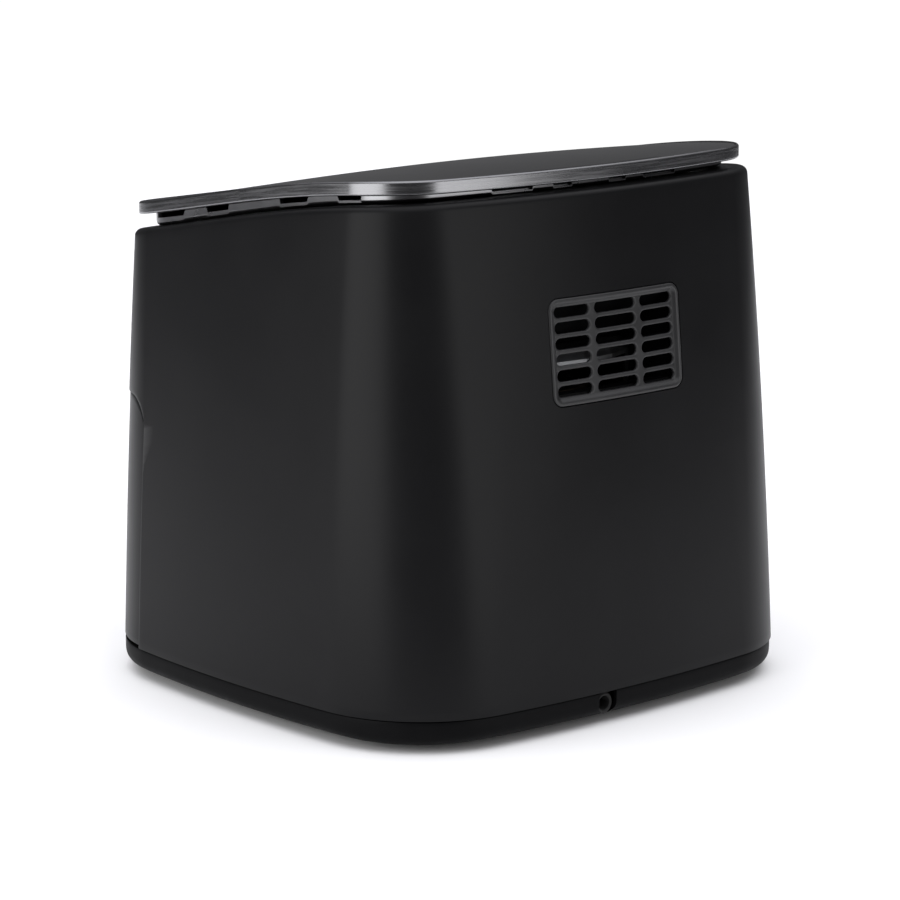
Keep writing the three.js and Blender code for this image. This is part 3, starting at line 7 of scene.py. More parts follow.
# %% Load the frame
import json
import math
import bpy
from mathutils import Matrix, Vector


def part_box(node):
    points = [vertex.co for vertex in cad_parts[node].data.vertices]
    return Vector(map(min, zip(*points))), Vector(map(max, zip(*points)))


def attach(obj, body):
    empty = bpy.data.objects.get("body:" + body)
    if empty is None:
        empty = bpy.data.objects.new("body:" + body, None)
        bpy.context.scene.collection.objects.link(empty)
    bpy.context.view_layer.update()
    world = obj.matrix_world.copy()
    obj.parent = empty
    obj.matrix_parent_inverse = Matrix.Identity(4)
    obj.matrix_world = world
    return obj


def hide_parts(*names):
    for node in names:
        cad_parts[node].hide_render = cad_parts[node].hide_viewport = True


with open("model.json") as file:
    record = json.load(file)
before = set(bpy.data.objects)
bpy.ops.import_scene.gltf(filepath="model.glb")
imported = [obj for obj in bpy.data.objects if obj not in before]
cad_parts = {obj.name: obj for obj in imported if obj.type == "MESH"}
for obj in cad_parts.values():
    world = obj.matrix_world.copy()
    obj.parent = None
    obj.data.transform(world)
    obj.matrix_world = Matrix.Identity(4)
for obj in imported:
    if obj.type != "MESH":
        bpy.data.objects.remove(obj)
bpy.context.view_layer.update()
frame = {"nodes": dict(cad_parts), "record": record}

from types import SimpleNamespace

import bmesh
import bpy
import numpy as np

MM = 0.001

# %% [markdown]
# ## The room
# A product on a white table: two tall soft boxes draw the long highlights down the rounded corner, and
# a sky that is bright overhead and dark near the horizon whitens the table while the upright black
# walls stay dark. The background is white only where the camera looks straight at it, so it gives a
# clean page without lighting the object.

# %% Colour and nodes
def linear(hex_colour):
    """An sRGB hex colour as linear red, green, blue and alpha."""
    values = [int(hex_colour[i:i + 2], 16) / 255 for i in (1, 3, 5)]
    return [v / 12.92 if v <= 0.04045 else ((v + 0.055) / 1.055) ** 2.4 for v in values] + [1.0]


def put(tree, kind, settings=None, links=None):
    """Adds a node, sets its properties, and fills its inputs with values or with other nodes' outputs."""
    node = tree.nodes.new(kind)
    for key, value in (settings or {}).items():
        setattr(node, key, value)
    for key, value in (links or {}).items():
        if isinstance(value, bpy.types.NodeSocket):
            tree.links.new(value, node.inputs[key])
        else:
            node.inputs[key].default_value = value
    return node


# %% [markdown]
# ## The sky and the page
# A product picture is lit from above by a broad white ceiling. An image could give that light, but a
# smooth step between two strengths by height is enough, and it is easy to change.

# %% World
LOW_SKY, HIGH_SKY = 0.11, 2.15
DARK_BELOW, BRIGHT_ABOVE = 0.45, 0.85  # heights in a ray's direction, where 1 is straight up
PAGE_WHITE = 1.05
world = bpy.data.worlds.new("studio")
bpy.context.scene.world = world
world.use_nodes = True
world.node_tree.nodes.clear()
path = put(world.node_tree, "ShaderNodeLightPath")
direction = put(world.node_tree, "ShaderNodeTexCoord")
height = put(world.node_tree, "ShaderNodeSeparateXYZ", None, {0: direction.outputs["Generated"]})
strength = put(world.node_tree, "ShaderNodeMapRange", {"interpolation_type": "SMOOTHSTEP"},
               {"Value": height.outputs["Z"], "From Min": DARK_BELOW, "From Max": BRIGHT_ABOVE,
                "To Min": LOW_SKY, "To Max": HIGH_SKY})
dim = put(world.node_tree, "ShaderNodeBackground", None,
          {"Color": linear("#fbfbff"), "Strength": strength.outputs[0]})
page = put(world.node_tree, "ShaderNodeBackground", None,
           {"Color": linear("#ffffff"), "Strength": PAGE_WHITE})
either = put(world.node_tree, "ShaderNodeMixShader", None,
             {0: path.outputs["Is Camera Ray"], 1: dim.outputs[0], 2: page.outputs[0]})
put(world.node_tree, "ShaderNodeOutputWorld", None, {"Surface": either.outputs[0]})
# A plain white-to-black curve keeps the page white and the black body black.
bpy.context.scene.view_settings.view_transform = "Standard"

# %% [markdown]
# ## The camera
# It stands behind the fryer and a little above it, with a long lens, as for a shop picture: from near by
# the body would seem to lean. It is placed by a turn, a rise and a distance from one point to aim at, so
# each of the three can be changed without the others.

# %% Camera
CAMERA_TURN = math.radians(41.25)  # round the object, from straight behind towards its right side
CAMERA_RISE = math.radians(11.86)
CAMERA_DISTANCE = 1.837
LENS = 138.0
AIM_HEIGHT = 0.1173
base_low, base_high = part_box("base_pan")
BODY_Y = (base_low.y + base_high.y) / 2  # the base goes all the way round, so its middle is the body's
aim = np.array([-0.001, BODY_Y + 0.0009, AIM_HEIGHT])
towards_camera = np.array([
    math.sin(CAMERA_TURN) * math.cos(CAMERA_RISE),
    math.cos(CAMERA_TURN) * math.cos(CAMERA_RISE),
    math.sin(CAMERA_RISE),
])
camera = bpy.data.objects.new("camera", bpy.data.cameras.new("camera"))
bpy.context.scene.collection.objects.link(camera)
camera.data.lens = LENS
camera.location = aim + towards_camera * CAMERA_DISTANCE
camera.rotation_euler = (math.pi / 2 - CAMERA_RISE, 0, math.pi - CAMERA_TURN)
bpy.context.scene.camera = camera
print("camera at, m:", [round(v, 3) for v in camera.location])

# %% [markdown]
# ## Two soft boxes
# Glossy black shows little but reflections. Two big upright area lights give long soft highlights, one
# on the side wall and a weaker one on the back, where a lamp as small as a bulb would give dots.

# %% Lights
def soft_box(name, turn, rise, distance, size, power):
    """An area light aimed at the body from a compass turn (0 is +X, 90 is +Y) and a rise, in degrees."""
    lamp = bpy.data.lights.new(name, "AREA")
    lamp.shape = "RECTANGLE"
    lamp.size, lamp.size_y = size
    lamp.energy = power
    holder = bpy.data.objects.new(name, lamp)
    bpy.context.scene.collection.objects.link(holder)
    across, up = math.radians(turn), math.radians(rise)
    away = np.array([math.cos(across) * math.cos(up), math.sin(across) * math.cos(up), math.sin(up)])
    holder.location = aim + away * distance
    holder.rotation_euler = (math.pi / 2 - up, 0, across + math.pi / 2)
    return holder


soft_box("side_box", turn=-4, rise=4, distance=1.5, size=(1.46, 1.3), power=21)
soft_box("back_box", turn=103, rise=4, distance=1.6, size=(0.76, 1.3), power=9)

# %% [markdown]
# ## How surfaces are made
# Every new surface is a grid: rows along one parameter, columns along another. One function joins the
# points with quads, one makes the object, and modifiers give a sheet its wall and its soft edges.

# %% Grid helpers
def mix(a, b, share):
    """Goes from a to b as share goes from 0 to 1."""
    return a + (b - a) * share


def quads(rows, columns, round_rows=False, round_columns=False):
    """The quads of a grid of points: each joins a point to its neighbour in the row and in the next row.
    A round direction joins its last points to its first."""
    r, c = np.meshgrid(
        np.arange(rows if round_rows else rows - 1),
        np.arange(columns if round_columns else columns - 1),
        indexing="ij",
    )
    next_r, next_c = (r + 1) % rows, (c + 1) % columns
    corners = [r * columns + c, r * columns + next_c, next_r * columns + next_c, next_r * columns + c]
    return np.stack(corners, -1).reshape(-1, 4)


def grid(points, round_rows=False, round_columns=False):
    """A grid of points with its quads and, for patterns, how far each point lies along both directions."""
    rows, columns = points.shape[:2]
    steps = np.linalg.norm(np.diff(points, axis=1), axis=-1)
    along = np.concatenate([np.zeros((rows, 1)), np.cumsum(steps, axis=1)], axis=1)
    steps = np.linalg.norm(np.diff(points, axis=0), axis=-1)
    across = np.concatenate([np.zeros((1, columns)), np.cumsum(steps, axis=0)], axis=0)
    uv = np.stack([along, across], -1).reshape(-1, 2)
    return points.reshape(-1, 3), quads(rows, columns, round_rows, round_columns), uv


def raw_mesh(name, parts):
    """A mesh from several grids. Points that meet are merged, and faces that shrink to nothing go."""
    points = np.concatenate([p for p, _, _ in parts])
    starts = np.cumsum([0] + [len(p) for p, _, _ in parts[:-1]])
    faces = np.concatenate([f + start for (_, f, _), start in zip(parts, starts)])
    uv = np.concatenate([u for _, _, u in parts])
    mesh = bpy.data.meshes.new(name)
    mesh.from_pydata(points, [], faces.tolist())
    layer = mesh.uv_layers.new(name="surface")
    layer.data.foreach_set("uv", uv[faces.ravel()].astype(np.float32).ravel())
    work = bmesh.new()
    work.from_mesh(mesh)
    bmesh.ops.remove_doubles(work, verts=work.verts, dist=2e-6)
    bmesh.ops.dissolve_degenerate(work, edges=work.edges, dist=1e-7)
    work.to_mesh(mesh)
    work.free()
    return mesh


def face_outwards(mesh, close=None):
    """Turns every face outwards. Open rims are closed first: "bridge" joins them, "fill" caps each."""
    work = bmesh.new()
    work.from_mesh(mesh)
    rims = [edge for edge in work.edges if edge.is_boundary]
    if close == "bridge":
        bmesh.ops.bridge_loops(work, edges=rims)
    if close == "fill":
        bmesh.ops.holes_fill(work, edges=rims, sides=0)
    bmesh.ops.recalc_face_normals(work, faces=work.faces)
    work.to_mesh(mesh)
    work.free()


def cutting_tool(name, parts):
    """A closed mesh for one Boolean cut, removed again once the cut is made."""
    made = bpy.data.objects.new(name, raw_mesh(name, parts))
    face_outwards(made.data)
    bpy.context.scene.collection.objects.link(made)
    return made


def piece(name, parts, body, nodes, finish, modifiers=(), outward=False, close=None):
    """Makes one finished piece: mesh, modifiers applied, edges sharp past 35 degrees, on its CAD body.
    outward turns the faces out before the modifiers, and close says how its open rims are closed."""
    made = bpy.data.objects.new(name, raw_mesh(name, parts))
    bpy.context.scene.collection.objects.link(made)
    if outward:
        face_outwards(made.data, close)
    for kind, settings in modifiers:
        modifier = made.modifiers.new(kind.lower(), kind)
        for key, value in settings.items():
            setattr(modifier, key, value)
    if modifiers:
        whole = made.evaluated_get(bpy.context.evaluated_depsgraph_get())
        solid = bpy.data.meshes.new_from_object(whole)
        made.modifiers.clear()
        made.data = solid
    made.data.name = name
    made.data.shade_smooth()
    made.data.set_sharp_from_angle(angle=math.radians(35))
    made.data.materials.clear()
    made.data.materials.append(finish)
    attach(made, body)
    if nodes:
        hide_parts(*nodes)
    print(f"{name}: {len(made.data.polygons)} faces")
    return made


def wall(thickness):
    """A sheet gets its wall on the inner side, at an even thickness."""
    return "SOLIDIFY", {"thickness": thickness, "offset": -1, "use_even_offset": True}


def soft_edges(width, segments=2):
    """Rounds every edge that turns more than 40 degrees."""
    return "BEVEL", {"width": width, "segments": segments, "limit_method": "ANGLE",
                     "angle_limit": math.radians(40), "harden_normals": False}


# %% [markdown]
# ## Finishes
# Nearly everything outside is black, so the finishes differ in gloss and grain rather than colour:
# satin paint on the body, moulded grain on the base and the grille, brushed dark metal round the lid
# and a glossy panel on top. Each has a slow pattern that varies its colour and gloss and a fine one that
# gives relief, because no real surface is perfectly even. Both are procedural rather than images, so
# they need no seams. Grain that is too fine to show is drawn coarser.

# %% A finish and its grain
def grain(tree, kind, size, stretch=(1, 1, 1), by_uv=False, detail=3):
    """A noise or cell pattern whose features are about size metres across, stretched along some axes."""
    place = put(tree, "ShaderNodeUVMap") if by_uv else put(tree, "ShaderNodeTexCoord")
    where = place.outputs["UV" if by_uv else "Object"]
    mapping = put(tree, "ShaderNodeMapping", None, {"Vector": where, "Scale": stretch})
    if kind == "cells":
        return put(tree, "ShaderNodeTexVoronoi", None,
                   {"Vector": mapping.outputs[0], "Scale": 1 / size}).outputs["Distance"]
    return put(tree, "ShaderNodeTexNoise", None,
               {"Vector": mapping.outputs[0], "Scale": 1 / size, "Detail": detail}).outputs[0]


def finish(name, dark, light, pattern, gloss, relief, metallic=0.0, ior=1.5, coat=None, extra=None):
    """A surface whose colour runs from dark to light and whose roughness runs between two values with
    a slow pattern, while a fine pattern gives the relief. pattern and relief are
    (kind, size, stretch, by_uv); relief also ends with its depth in metres."""
    material = bpy.data.materials.new(name)
    material.use_nodes = True
    tree = material.node_tree
    tree.nodes.clear()
    slow = grain(tree, *pattern)
    ramp = put(tree, "ShaderNodeValToRGB", None, {"Fac": slow})
    ramp.color_ramp.elements[0].position, ramp.color_ramp.elements[1].position = 0.3, 0.7
    ramp.color_ramp.elements[0].color = linear(dark)
    ramp.color_ramp.elements[1].color = linear(light)
    rough = put(tree, "ShaderNodeMapRange", None,
                {"Value": slow, "From Min": 0.3, "From Max": 0.7, "To Min": gloss[0], "To Max": gloss[1]})
    fine = grain(tree, *relief[:-1])
    bump = put(tree, "ShaderNodeBump", None, {"Height": fine, "Strength": 1.0, "Distance": relief[-1]})
    links = {"Base Color": ramp.outputs[0], "Roughness": rough.outputs[0], "Normal": bump.outputs[0],
             "Metallic": metallic, "IOR": ior}
    if coat:
        links["Coat Weight"], links["Coat Roughness"] = coat
    shader = put(tree, "ShaderNodeBsdfPrincipled", None, {**links, **(extra or {})})
    put(tree, "ShaderNodeOutputMaterial", None, {"Surface": shader.outputs[0]})
    return material


# %% [markdown]
# ## What each finish is
# Each one below is named for its material and for how its surface was made, and starts from typical
# values for it. Two colours, two roughnesses and two patterns are enough to tell them apart.

# %% The outside finishes
EVEN = (1, 1, 1)
# Satin soft-touch paint on ABS: sprayed, so it has a faint orange peel, drawn 1.6 mm wide so it shows.
# Real paint has an IOR near 1.5. It is set lower so that the white table doesn't grey the black body.
satin_paint = finish(
    "satin_black_paint_on_abs", "#101011", "#131314",
    ("noise", 60 * MM, EVEN, False), (0.34, 0.39), ("noise", 1.6 * MM, EVEN, False, 2, 0.012 * MM),
    ior=1.2,
)
# Moulded black polypropylene with a spark-eroded grain; the real 0.2 mm grain is drawn 0.9 mm wide.
# Its near-black colour is darker than the plastic itself, on every part that uses it: painted shade for
# the base's underside, which sits in shadow over the table. Its IOR, too, is set below the real 1.49,
# which keeps the underside's curl dark over the table.
grained_plastic_with_painted_shade = finish(
    "grained_black_polypropylene_with_painted_shade", "#050506", "#09090a",
    ("noise", 25 * MM, EVEN, False), (0.42, 0.55), ("noise", 0.9 * MM, EVEN, False, 2, 0.03 * MM),
    ior=1.15,
)
# The grille is plain ABS straight from a fine-textured mould, a touch lighter than the paint round it,
# with an IOR a little under the real 1.5 for the same reason.
textured_abs = finish(
    "fine_textured_black_abs", "#202021", "#272728",
    ("noise", 18 * MM, EVEN, False), (0.36, 0.44), ("noise", 0.8 * MM, EVEN, False, 2, 0.02 * MM),
    ior=1.4,
)
# Dark anodised aluminium, brushed along the rim: streaks 33 to 50 times longer than they are wide.
brushed_gunmetal = finish(
    "brushed_gunmetal_aluminium", "#6e6e70", "#7b7b7d",
    ("noise", 1.2 * MM, (0.03, 1, 1), True), (0.20, 0.34),
    ("noise", 0.5 * MM, (0.02, 1, 1), True, 2, 0.006 * MM), metallic=1.0,
)
# Metallic lacquer on the plastic neck: much like the rim, but evenly sprayed, so without streaks.
metallic_lacquer = finish(
    "dark_metallic_lacquer", "#7e7e80", "#868688",
    ("noise", 20 * MM, EVEN, False), (0.26, 0.32), ("noise", 1.2 * MM, EVEN, False, 2, 0.008 * MM),
    metallic=1.0,
)
# Tinted, hard-coated panel: black underneath and glossy, with faint wipe marks in its gloss.
tinted_panel = finish(
    "tinted_glossy_acrylic", "#0b0b0c", "#101011",
    ("noise", 45 * MM, (1, 0.4, 1), False), (0.16, 0.22), ("noise", 30 * MM, EVEN, False, 2, 0.02 * MM),
    coat=(0.6, 0.1),
)
# Rubber: matt, with a dusty cast.
moulded_rubber = finish(
    "moulded_black_rubber", "#101010", "#191919",
    ("noise", 6 * MM, EVEN, False), (0.75, 0.9), ("noise", 0.7 * MM, EVEN, False, 2, 0.04 * MM),
)
# Cold-rolled steel sheet, with the fine straight lines that the rolls leave. Its grey is drawn darker than
# bare steel: painted shade, so that the steel seen through the vent stays dark.
rolled_steel_with_painted_shade = finish(
    "cold_rolled_sheet_darkened_as_shade", "#747577", "#8c8d8f",
    ("noise", 4 * MM, (0.05, 1, 1), False), (0.28, 0.42),
    ("noise", 0.6 * MM, (0.03, 1, 1), False, 2, 0.008 * MM), metallic=1.0,
)
# Die-cast aluminium: dull, with the soft skin of the die.
cast_metal = finish(
    "die_cast_aluminium", "#6c6d6f", "#828385",
    ("noise", 14 * MM, EVEN, False), (0.45, 0.6), ("noise", 1.1 * MM, EVEN, False, 3, 0.04 * MM),
    metallic=1.0,
)
# Sprayed non-stick coating: nearly black, silky, with a speckle of lighter particles.
non_stick_coat = finish(
    "sprayed_non_stick_coating", "#1b1b1c", "#2c2c2e",
    ("cells", 2.2 * MM, EVEN, False), (0.30, 0.42), ("noise", 0.8 * MM, EVEN, False, 2, 0.02 * MM),
    coat=(0.15, 0.25),
)
# Compression-moulded silicone, with a little light passing into it.
moulded_silicone = finish(
    "moulded_grey_silicone", "#37373a", "#424246",
    ("noise", 5 * MM, EVEN, False), (0.5, 0.62), ("noise", 0.9 * MM, EVEN, False, 2, 0.02 * MM),
    extra={"Subsurface Weight": 0.1, "Subsurface Scale": 1.0 * MM},
)
# Stainless heating tube after many heatings: brown and straw oxide colours in slow patches.
heated_steel = finish(
    "heat_tinted_stainless_tube", "#6a5a48", "#857a70",
    ("noise", 16 * MM, EVEN, False), (0.32, 0.5), ("noise", 0.7 * MM, EVEN, False, 3, 0.012 * MM),
    metallic=1.0,
)
# Solder mask over copper on glass fibre: the weave shows faintly.
solder_mask = finish(
    "green_solder_mask_on_glass_fibre", "#0e3b20", "#14512c",
    ("noise", 9 * MM, EVEN, False), (0.28, 0.36), ("cells", 1.2 * MM, EVEN, False, 2, 0.006 * MM),
)
# Turned brass with fine tool lines.
turned_brass = finish(
    "turned_brass", "#a1803f", "#b8954d",
    ("noise", 8 * MM, EVEN, False), (0.22, 0.34), ("noise", 0.5 * MM, (1, 1, 0.05), False, 2, 0.006 * MM),
    metallic=1.0,
)
# Zinc-plated steel: bright, with a fine crystalline mottle.
zinc_plate = finish(
    "zinc_plated_steel", "#a2a4a8", "#bcbec2",
    ("cells", 1.5 * MM, EVEN, False), (0.22, 0.36), ("noise", 0.6 * MM, EVEN, False, 2, 0.006 * MM),
    metallic=1.0,
)
print("finishes:", len(bpy.data.materials))

# %% [markdown]
# ## The parts inside
# Folded sheet, castings, boards and screws are hardly seen from outside. Their CAD meshes stay, and each
# gets its finish by its material slot, which is quicker than choosing one for each part.

# %% Finishes of the CAD parts that stay
BY_SLOT = {
    "body_paint": satin_paint, "black_plastic": grained_plastic_with_painted_shade, "gunmetal_trim": brushed_gunmetal,
    "glass_panel": tinted_panel, "black_rubber": moulded_rubber, "sheet_steel": rolled_steel_with_painted_shade,
    "cast_aluminium": cast_metal, "non_stick": non_stick_coat, "silicone": moulded_silicone,
    "element_steel": heated_steel, "green_board": solder_mask, "brass_fitting": turned_brass,
    "screw_steel": zinc_plate,
}
for part in frame["record"]["subparts"]:
    data = frame["nodes"][part["node"]].data
    data.materials.clear()
    data.materials.append(BY_SLOT[part["material_slot"]])
print("CAD parts with a finish:", len(frame["nodes"]))

# %% [markdown]
# ## The body's outline
# Seen from above the body is a rectangle whose four sides bow outwards and whose corners are large
# arcs. It is widest at the seam above the base and shrinks towards the shoulder under the lid, so the
# skin is one function: a direction round the outline and a level between the seam and the shoulder
# give a point. The shoulder isn't level either, but slopes up towards the back.

# %% Outline
shell_low, shell_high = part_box("body_shell")
HALF_X = shell_high.x
HALF_Y = shell_high.y - BODY_Y
SEAM_Z = shell_low.z
SIDE_TAPER = 14.8 * MM
END_TAPER = 15.4 * MM
seam = SimpleNamespace(half_x=HALF_X, half_y=HALF_Y, corner=68 * MM, side_bow=13 * MM,
                       front_bow=13.6 * MM, back_bow=14.6 * MM, shift=0.0)
shoulder = SimpleNamespace(half_x=HALF_X - SIDE_TAPER, half_y=HALF_Y - END_TAPER, corner=42.5 * MM,
                           side_bow=9.3 * MM, front_bow=15 * MM, back_bow=18.3 * MM, shift=-4.8 * MM)
SHOULDER_CURVE = (256 * MM, 0.183, 0.267, 2.42)  # height in the middle, slope, crown, droop
EASING = 0.85  # how strongly the turn is eased, between 0 and 1
LINEAR_SHARE = 0.64  # the part of the taper that grows evenly with the level


def outline(shape, inset, turn):
    """A bowed rectangle with rounded corners, as x and y for each turn.
    A core with parabola sides is rounded by a circle: the turn gives the circle's direction, the core's
    point is where it leans furthest that way, and an inset makes the circle smaller. The turn is eased
    so that points crowd less in the corners and more along the sides."""
    angle = turn - EASING * np.sin(4 * turn) / 4
    across, along = np.abs(np.cos(angle)), np.abs(np.sin(angle))
    core_x, core_y = shape.half_x - shape.corner, shape.half_y - shape.corner
    side_curve = shape.side_bow / shape.half_y ** 2
    end_curve = np.where(np.sin(angle) > 0, shape.back_bow, shape.front_bow) / shape.half_x ** 2
    corner_x, corner_y = core_x, core_y  # where two sides meet, found by repeated substitution
    for _ in range(12):
        corner_x = core_x - side_curve * corner_y ** 2
        corner_y = core_y - end_curve * corner_x ** 2
    side_y = along / (2 * side_curve * np.maximum(across, 1e-9))
    end_x = across / (2 * end_curve * np.maximum(along, 1e-9))
    on_side, on_end = side_y < corner_y, end_x < corner_x
    x = np.where(on_side, core_x - side_curve * side_y ** 2, np.where(on_end, end_x, corner_x))
    y = np.where(on_side, side_y, np.where(on_end, core_y - end_curve * end_x ** 2, corner_y))
    radius = shape.corner - inset
    x = np.sign(np.cos(angle)) * x + radius * np.cos(angle)
    return x, np.sign(np.sin(angle)) * y + radius * np.sin(angle) + shape.shift


def height_on(curve, y):
    """The height of a curve that slopes, sags and droops along y, measured from the body's middle."""
    middle, slope, crown, droop = curve
    return middle + slope * y - crown * y ** 2 - droop * y ** 3


def skin(turn, level, inset=0.0):
    """The body's surface: the seam outline turns into the shoulder outline as level goes from 0 to 1,
    a little faster near the top, and the height goes from the seam to the sloping shoulder."""
    low_x, low_y = outline(seam, inset, turn)
    high_x, high_y = outline(shoulder, inset, turn)
    share = LINEAR_SHARE * level + (1 - LINEAR_SHARE) * level ** 2
    top = height_on(SHOULDER_CURVE, high_y)
    x, y, z = mix(low_x, high_x, share), mix(low_y, high_y, share) + BODY_Y, mix(SEAM_Z, top, level)
    return np.stack(np.broadcast_arrays(x, y, z), -1)


def level_at(turn, z, inset=0.0):
    """The level at which the skin reaches a height."""
    top = height_on(SHOULDER_CURVE, outline(shoulder, inset, turn)[1])
    return (z - SEAM_Z) / (top - SEAM_Z)


def halve(measure, target, low, high):
    """The turn at which a rising measure reaches its target, found by halving the span 40 times."""
    low, high = np.full(np.shape(target), low), np.full(np.shape(target), high)
    for _ in range(40):
        middle = (low + high) / 2
        below = measure(middle) < target
        low, high = np.where(below, middle, low), np.where(below, high, middle)
    return (low + high) / 2


def turn_on_side(y, z, inset=0.0):
    """The turn where the right side of the skin is at y and z."""
    y, z = np.broadcast_arrays(y, z)
    return halve(lambda t: skin(t, level_at(t, z, inset), inset)[..., 1], y, -math.pi / 2, math.pi / 2)


def back_y(x, z, inset=0.0):
    """Where the back of the skin is, for x and z across it."""
    x, z = np.broadcast_arrays(x, z)
    turn = halve(lambda t: -skin(t, level_at(t, z, inset), inset)[..., 0], -x, 0.05, math.pi - 0.05)
    return skin(turn, level_at(turn, z, inset), inset)[..., 1]


print("outline at the seam, mm:", [round(float(v) / MM) for v in outline(seam, 0, np.array(0.0))])

# %% [markdown]
# ## The body shell and the drawer front
# On the real object the drawer front wraps round the front corners, so the shell is cut away there,
# with a rounded top corner in side view. Cutting a finished mesh would leave ragged faces along the
# cut, so the grid is laid out to follow it: a full ring of columns above the drawer, each starting on
# the cut, and a lower part that goes only round the back. The drawer front is the missing piece, a
# little smaller all round. Both are sheets that get their wall from Solidify.

# %% Where the drawer is cut
front_low, front_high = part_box("drawer_front")
REVEAL = 0.8 * MM
EDGE_Y = front_high.y + REVEAL
DRAWER_TOP = front_high.z + REVEAL
CUT_RADIUS = 16 * MM
SETBACK = 0.6 * MM
SHELL_WALL = 2.6 * MM
FRONT_WALL = 2.8 * MM
SHOULDER_RADIUS = 3.5 * MM
FLANGE = 22 * MM
BACK_COLUMNS, SHELL_FRONT_COLUMNS, DRAWER_COLUMNS = 201, 119, 159


def cut_corner(edge, top, count):
    """The drawer's rounded top corner in side view, from its upright edge to its top edge."""
    turn = np.linspace(0, math.pi / 2, count)
    return edge - CUT_RADIUS * (1 - np.cos(turn)), top - CUT_RADIUS * (1 - np.sin(turn))


# %% [markdown]
# ## The painted skin
# The real one is a single deep moulding, painted, with a window for the vent. Two joined grids give its
# outside, Solidify its wall and Bevel its soft edges. Only the window is a Boolean, because the grid
# has no rows or columns along its rounded outline.

# %% Body shell
def shell_grids():
    """The upper band, whose columns start on the drawer's cut, and the lower band round the back."""
    corner_z = DRAWER_TOP - CUT_RADIUS
    spread = np.linspace(0, 1, BACK_COLUMNS)
    low_z = np.linspace(SEAM_Z, corner_z, 26)[:, None]
    right = turn_on_side(EDGE_Y, low_z)
    low_turn = mix(right, math.pi - right, spread)
    lower = skin(low_turn, level_at(low_turn, low_z))
    arc_y, arc_z = cut_corner(EDGE_Y, DRAWER_TOP, 13)
    arc = turn_on_side(arc_y, arc_z)
    between = np.linspace(0, 1, SHELL_FRONT_COLUMNS + 2)[1:-1]
    front = mix(math.pi - arc[-1], 2 * math.pi + arc[-1], between)
    turn = np.concatenate([low_turn[-1], math.pi - arc[1:], front, 2 * math.pi + arc[:0:-1]])
    start = np.concatenate([np.full(BACK_COLUMNS, corner_z), arc_z[1:],
                            np.full(SHELL_FRONT_COLUMNS, DRAWER_TOP), arc_z[:0:-1]])
    tall = height_on(SHOULDER_CURVE, outline(shoulder, 0, turn)[1]) - SEAM_Z
    first = level_at(turn, start)
    rise = np.linspace(0, 1, 34)[:, None]
    upper = [skin(turn, mix(first, 1 - SHOULDER_RADIUS / tall, rise))]
    round_over = np.linspace(0, math.pi / 2, 7)[1:]
    for angle in round_over:
        drop = SHOULDER_RADIUS * (1 - math.sin(angle))
        inset = SHOULDER_RADIUS * (1 - math.cos(angle))
        upper.append(skin(turn, 1 - drop / tall, inset)[None])
    upper.append(skin(turn, np.ones_like(turn), mix(SHOULDER_RADIUS, FLANGE, 0.5))[None])
    upper.append(skin(turn, np.ones_like(turn), FLANGE)[None])
    return [grid(lower), grid(np.concatenate(upper), round_columns=True)]


vent_low, vent_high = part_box("vent_grille")
VENT_CORNER = 6 * MM


def rounded_loop(x_half, z_low, z_high, radius, per_corner=10):
    """A rounded rectangle, anticlockwise: four quarter circles whose ends the next one starts from."""
    turn = (np.arange(4)[:, None] * math.pi / 2 + np.linspace(0, math.pi / 2, per_corner)).ravel()
    side_x = np.repeat([1, -1, -1, 1], per_corner) * (x_half - radius)
    middle, half = (z_low + z_high) / 2, (z_high - z_low) / 2 - radius
    side_z = middle + np.repeat([1, 1, -1, -1], per_corner) * half
    return side_x + radius * np.cos(turn), side_z + radius * np.sin(turn)


def cutter(name, x, z, y_from, y_to):
    """A closed prism along Y on a loop of x and z, used once by a Boolean modifier."""
    middle = np.array([x.mean(), z.mean()])
    loops = []
    for y, share in ((y_from, 0), (y_from, 1), (y_to, 1), (y_to, 0)):
        loops.append(np.stack([mix(middle[0], x, share), np.full_like(x, y), mix(middle[1], z, share)], -1))
    return cutting_tool(name, [grid(np.stack(loops), round_columns=True)])


GAP = 0.3 * MM
VENT_GAP = 0.5 * MM
loop = rounded_loop(vent_high.x + VENT_GAP, vent_low.z - VENT_GAP, vent_high.z + VENT_GAP,
                    VENT_CORNER + VENT_GAP)
vent_cutter = cutter("vent_cutter", *loop, BODY_Y + HALF_Y - 40 * MM, BODY_Y + HALF_Y + 20 * MM)
piece(
    "body_skin", shell_grids(), "housing", ["body_shell"], satin_paint,
    [wall(SHELL_WALL), soft_edges(0.5 * MM),
     ("BOOLEAN", {"operation": "DIFFERENCE", "object": vent_cutter})],
)
bpy.data.objects.remove(vent_cutter)


# %% [markdown]
# ## The drawer's face
# It is moulded to match the skin, so it is made by the same function, set back a hair so that the gap
# round it reads as a line. Using one function for both keeps them flush, whatever the body's shape.

# %% Drawer front
def drawer_grid():
    """Columns from the left edge round the front to the right edge; rows from the sill to the top, which
    is lower in the columns of the two rounded corners."""
    edge, top, low = EDGE_Y - REVEAL, DRAWER_TOP - REVEAL, front_low.z
    arc_y, arc_z = cut_corner(edge, top, 13)
    rise = np.linspace(0, 1, 40)[:, None]
    arc_heights = mix(low, arc_z, rise)
    arc = turn_on_side(arc_y, arc_heights, SETBACK)
    heights = mix(low, top, rise)
    last = turn_on_side(arc_y[-1], heights, SETBACK)
    spread = np.linspace(0, 1, DRAWER_COLUMNS + 2)[1:-1]
    front = mix(math.pi - last, 2 * math.pi + last, spread)
    turn = np.concatenate([math.pi - arc, front, 2 * math.pi + arc[:, ::-1]], axis=1)
    middle_heights = np.repeat(heights, DRAWER_COLUMNS, axis=1)
    tall = np.concatenate([arc_heights, middle_heights, arc_heights[:, ::-1]], axis=1)
    return grid(skin(turn, level_at(turn, tall, SETBACK), SETBACK))


piece(
    "drawer_front_panel", [drawer_grid()], "drawer", ["drawer_front"], satin_paint,
    [wall(FRONT_WALL), soft_edges(0.6 * MM)],
)

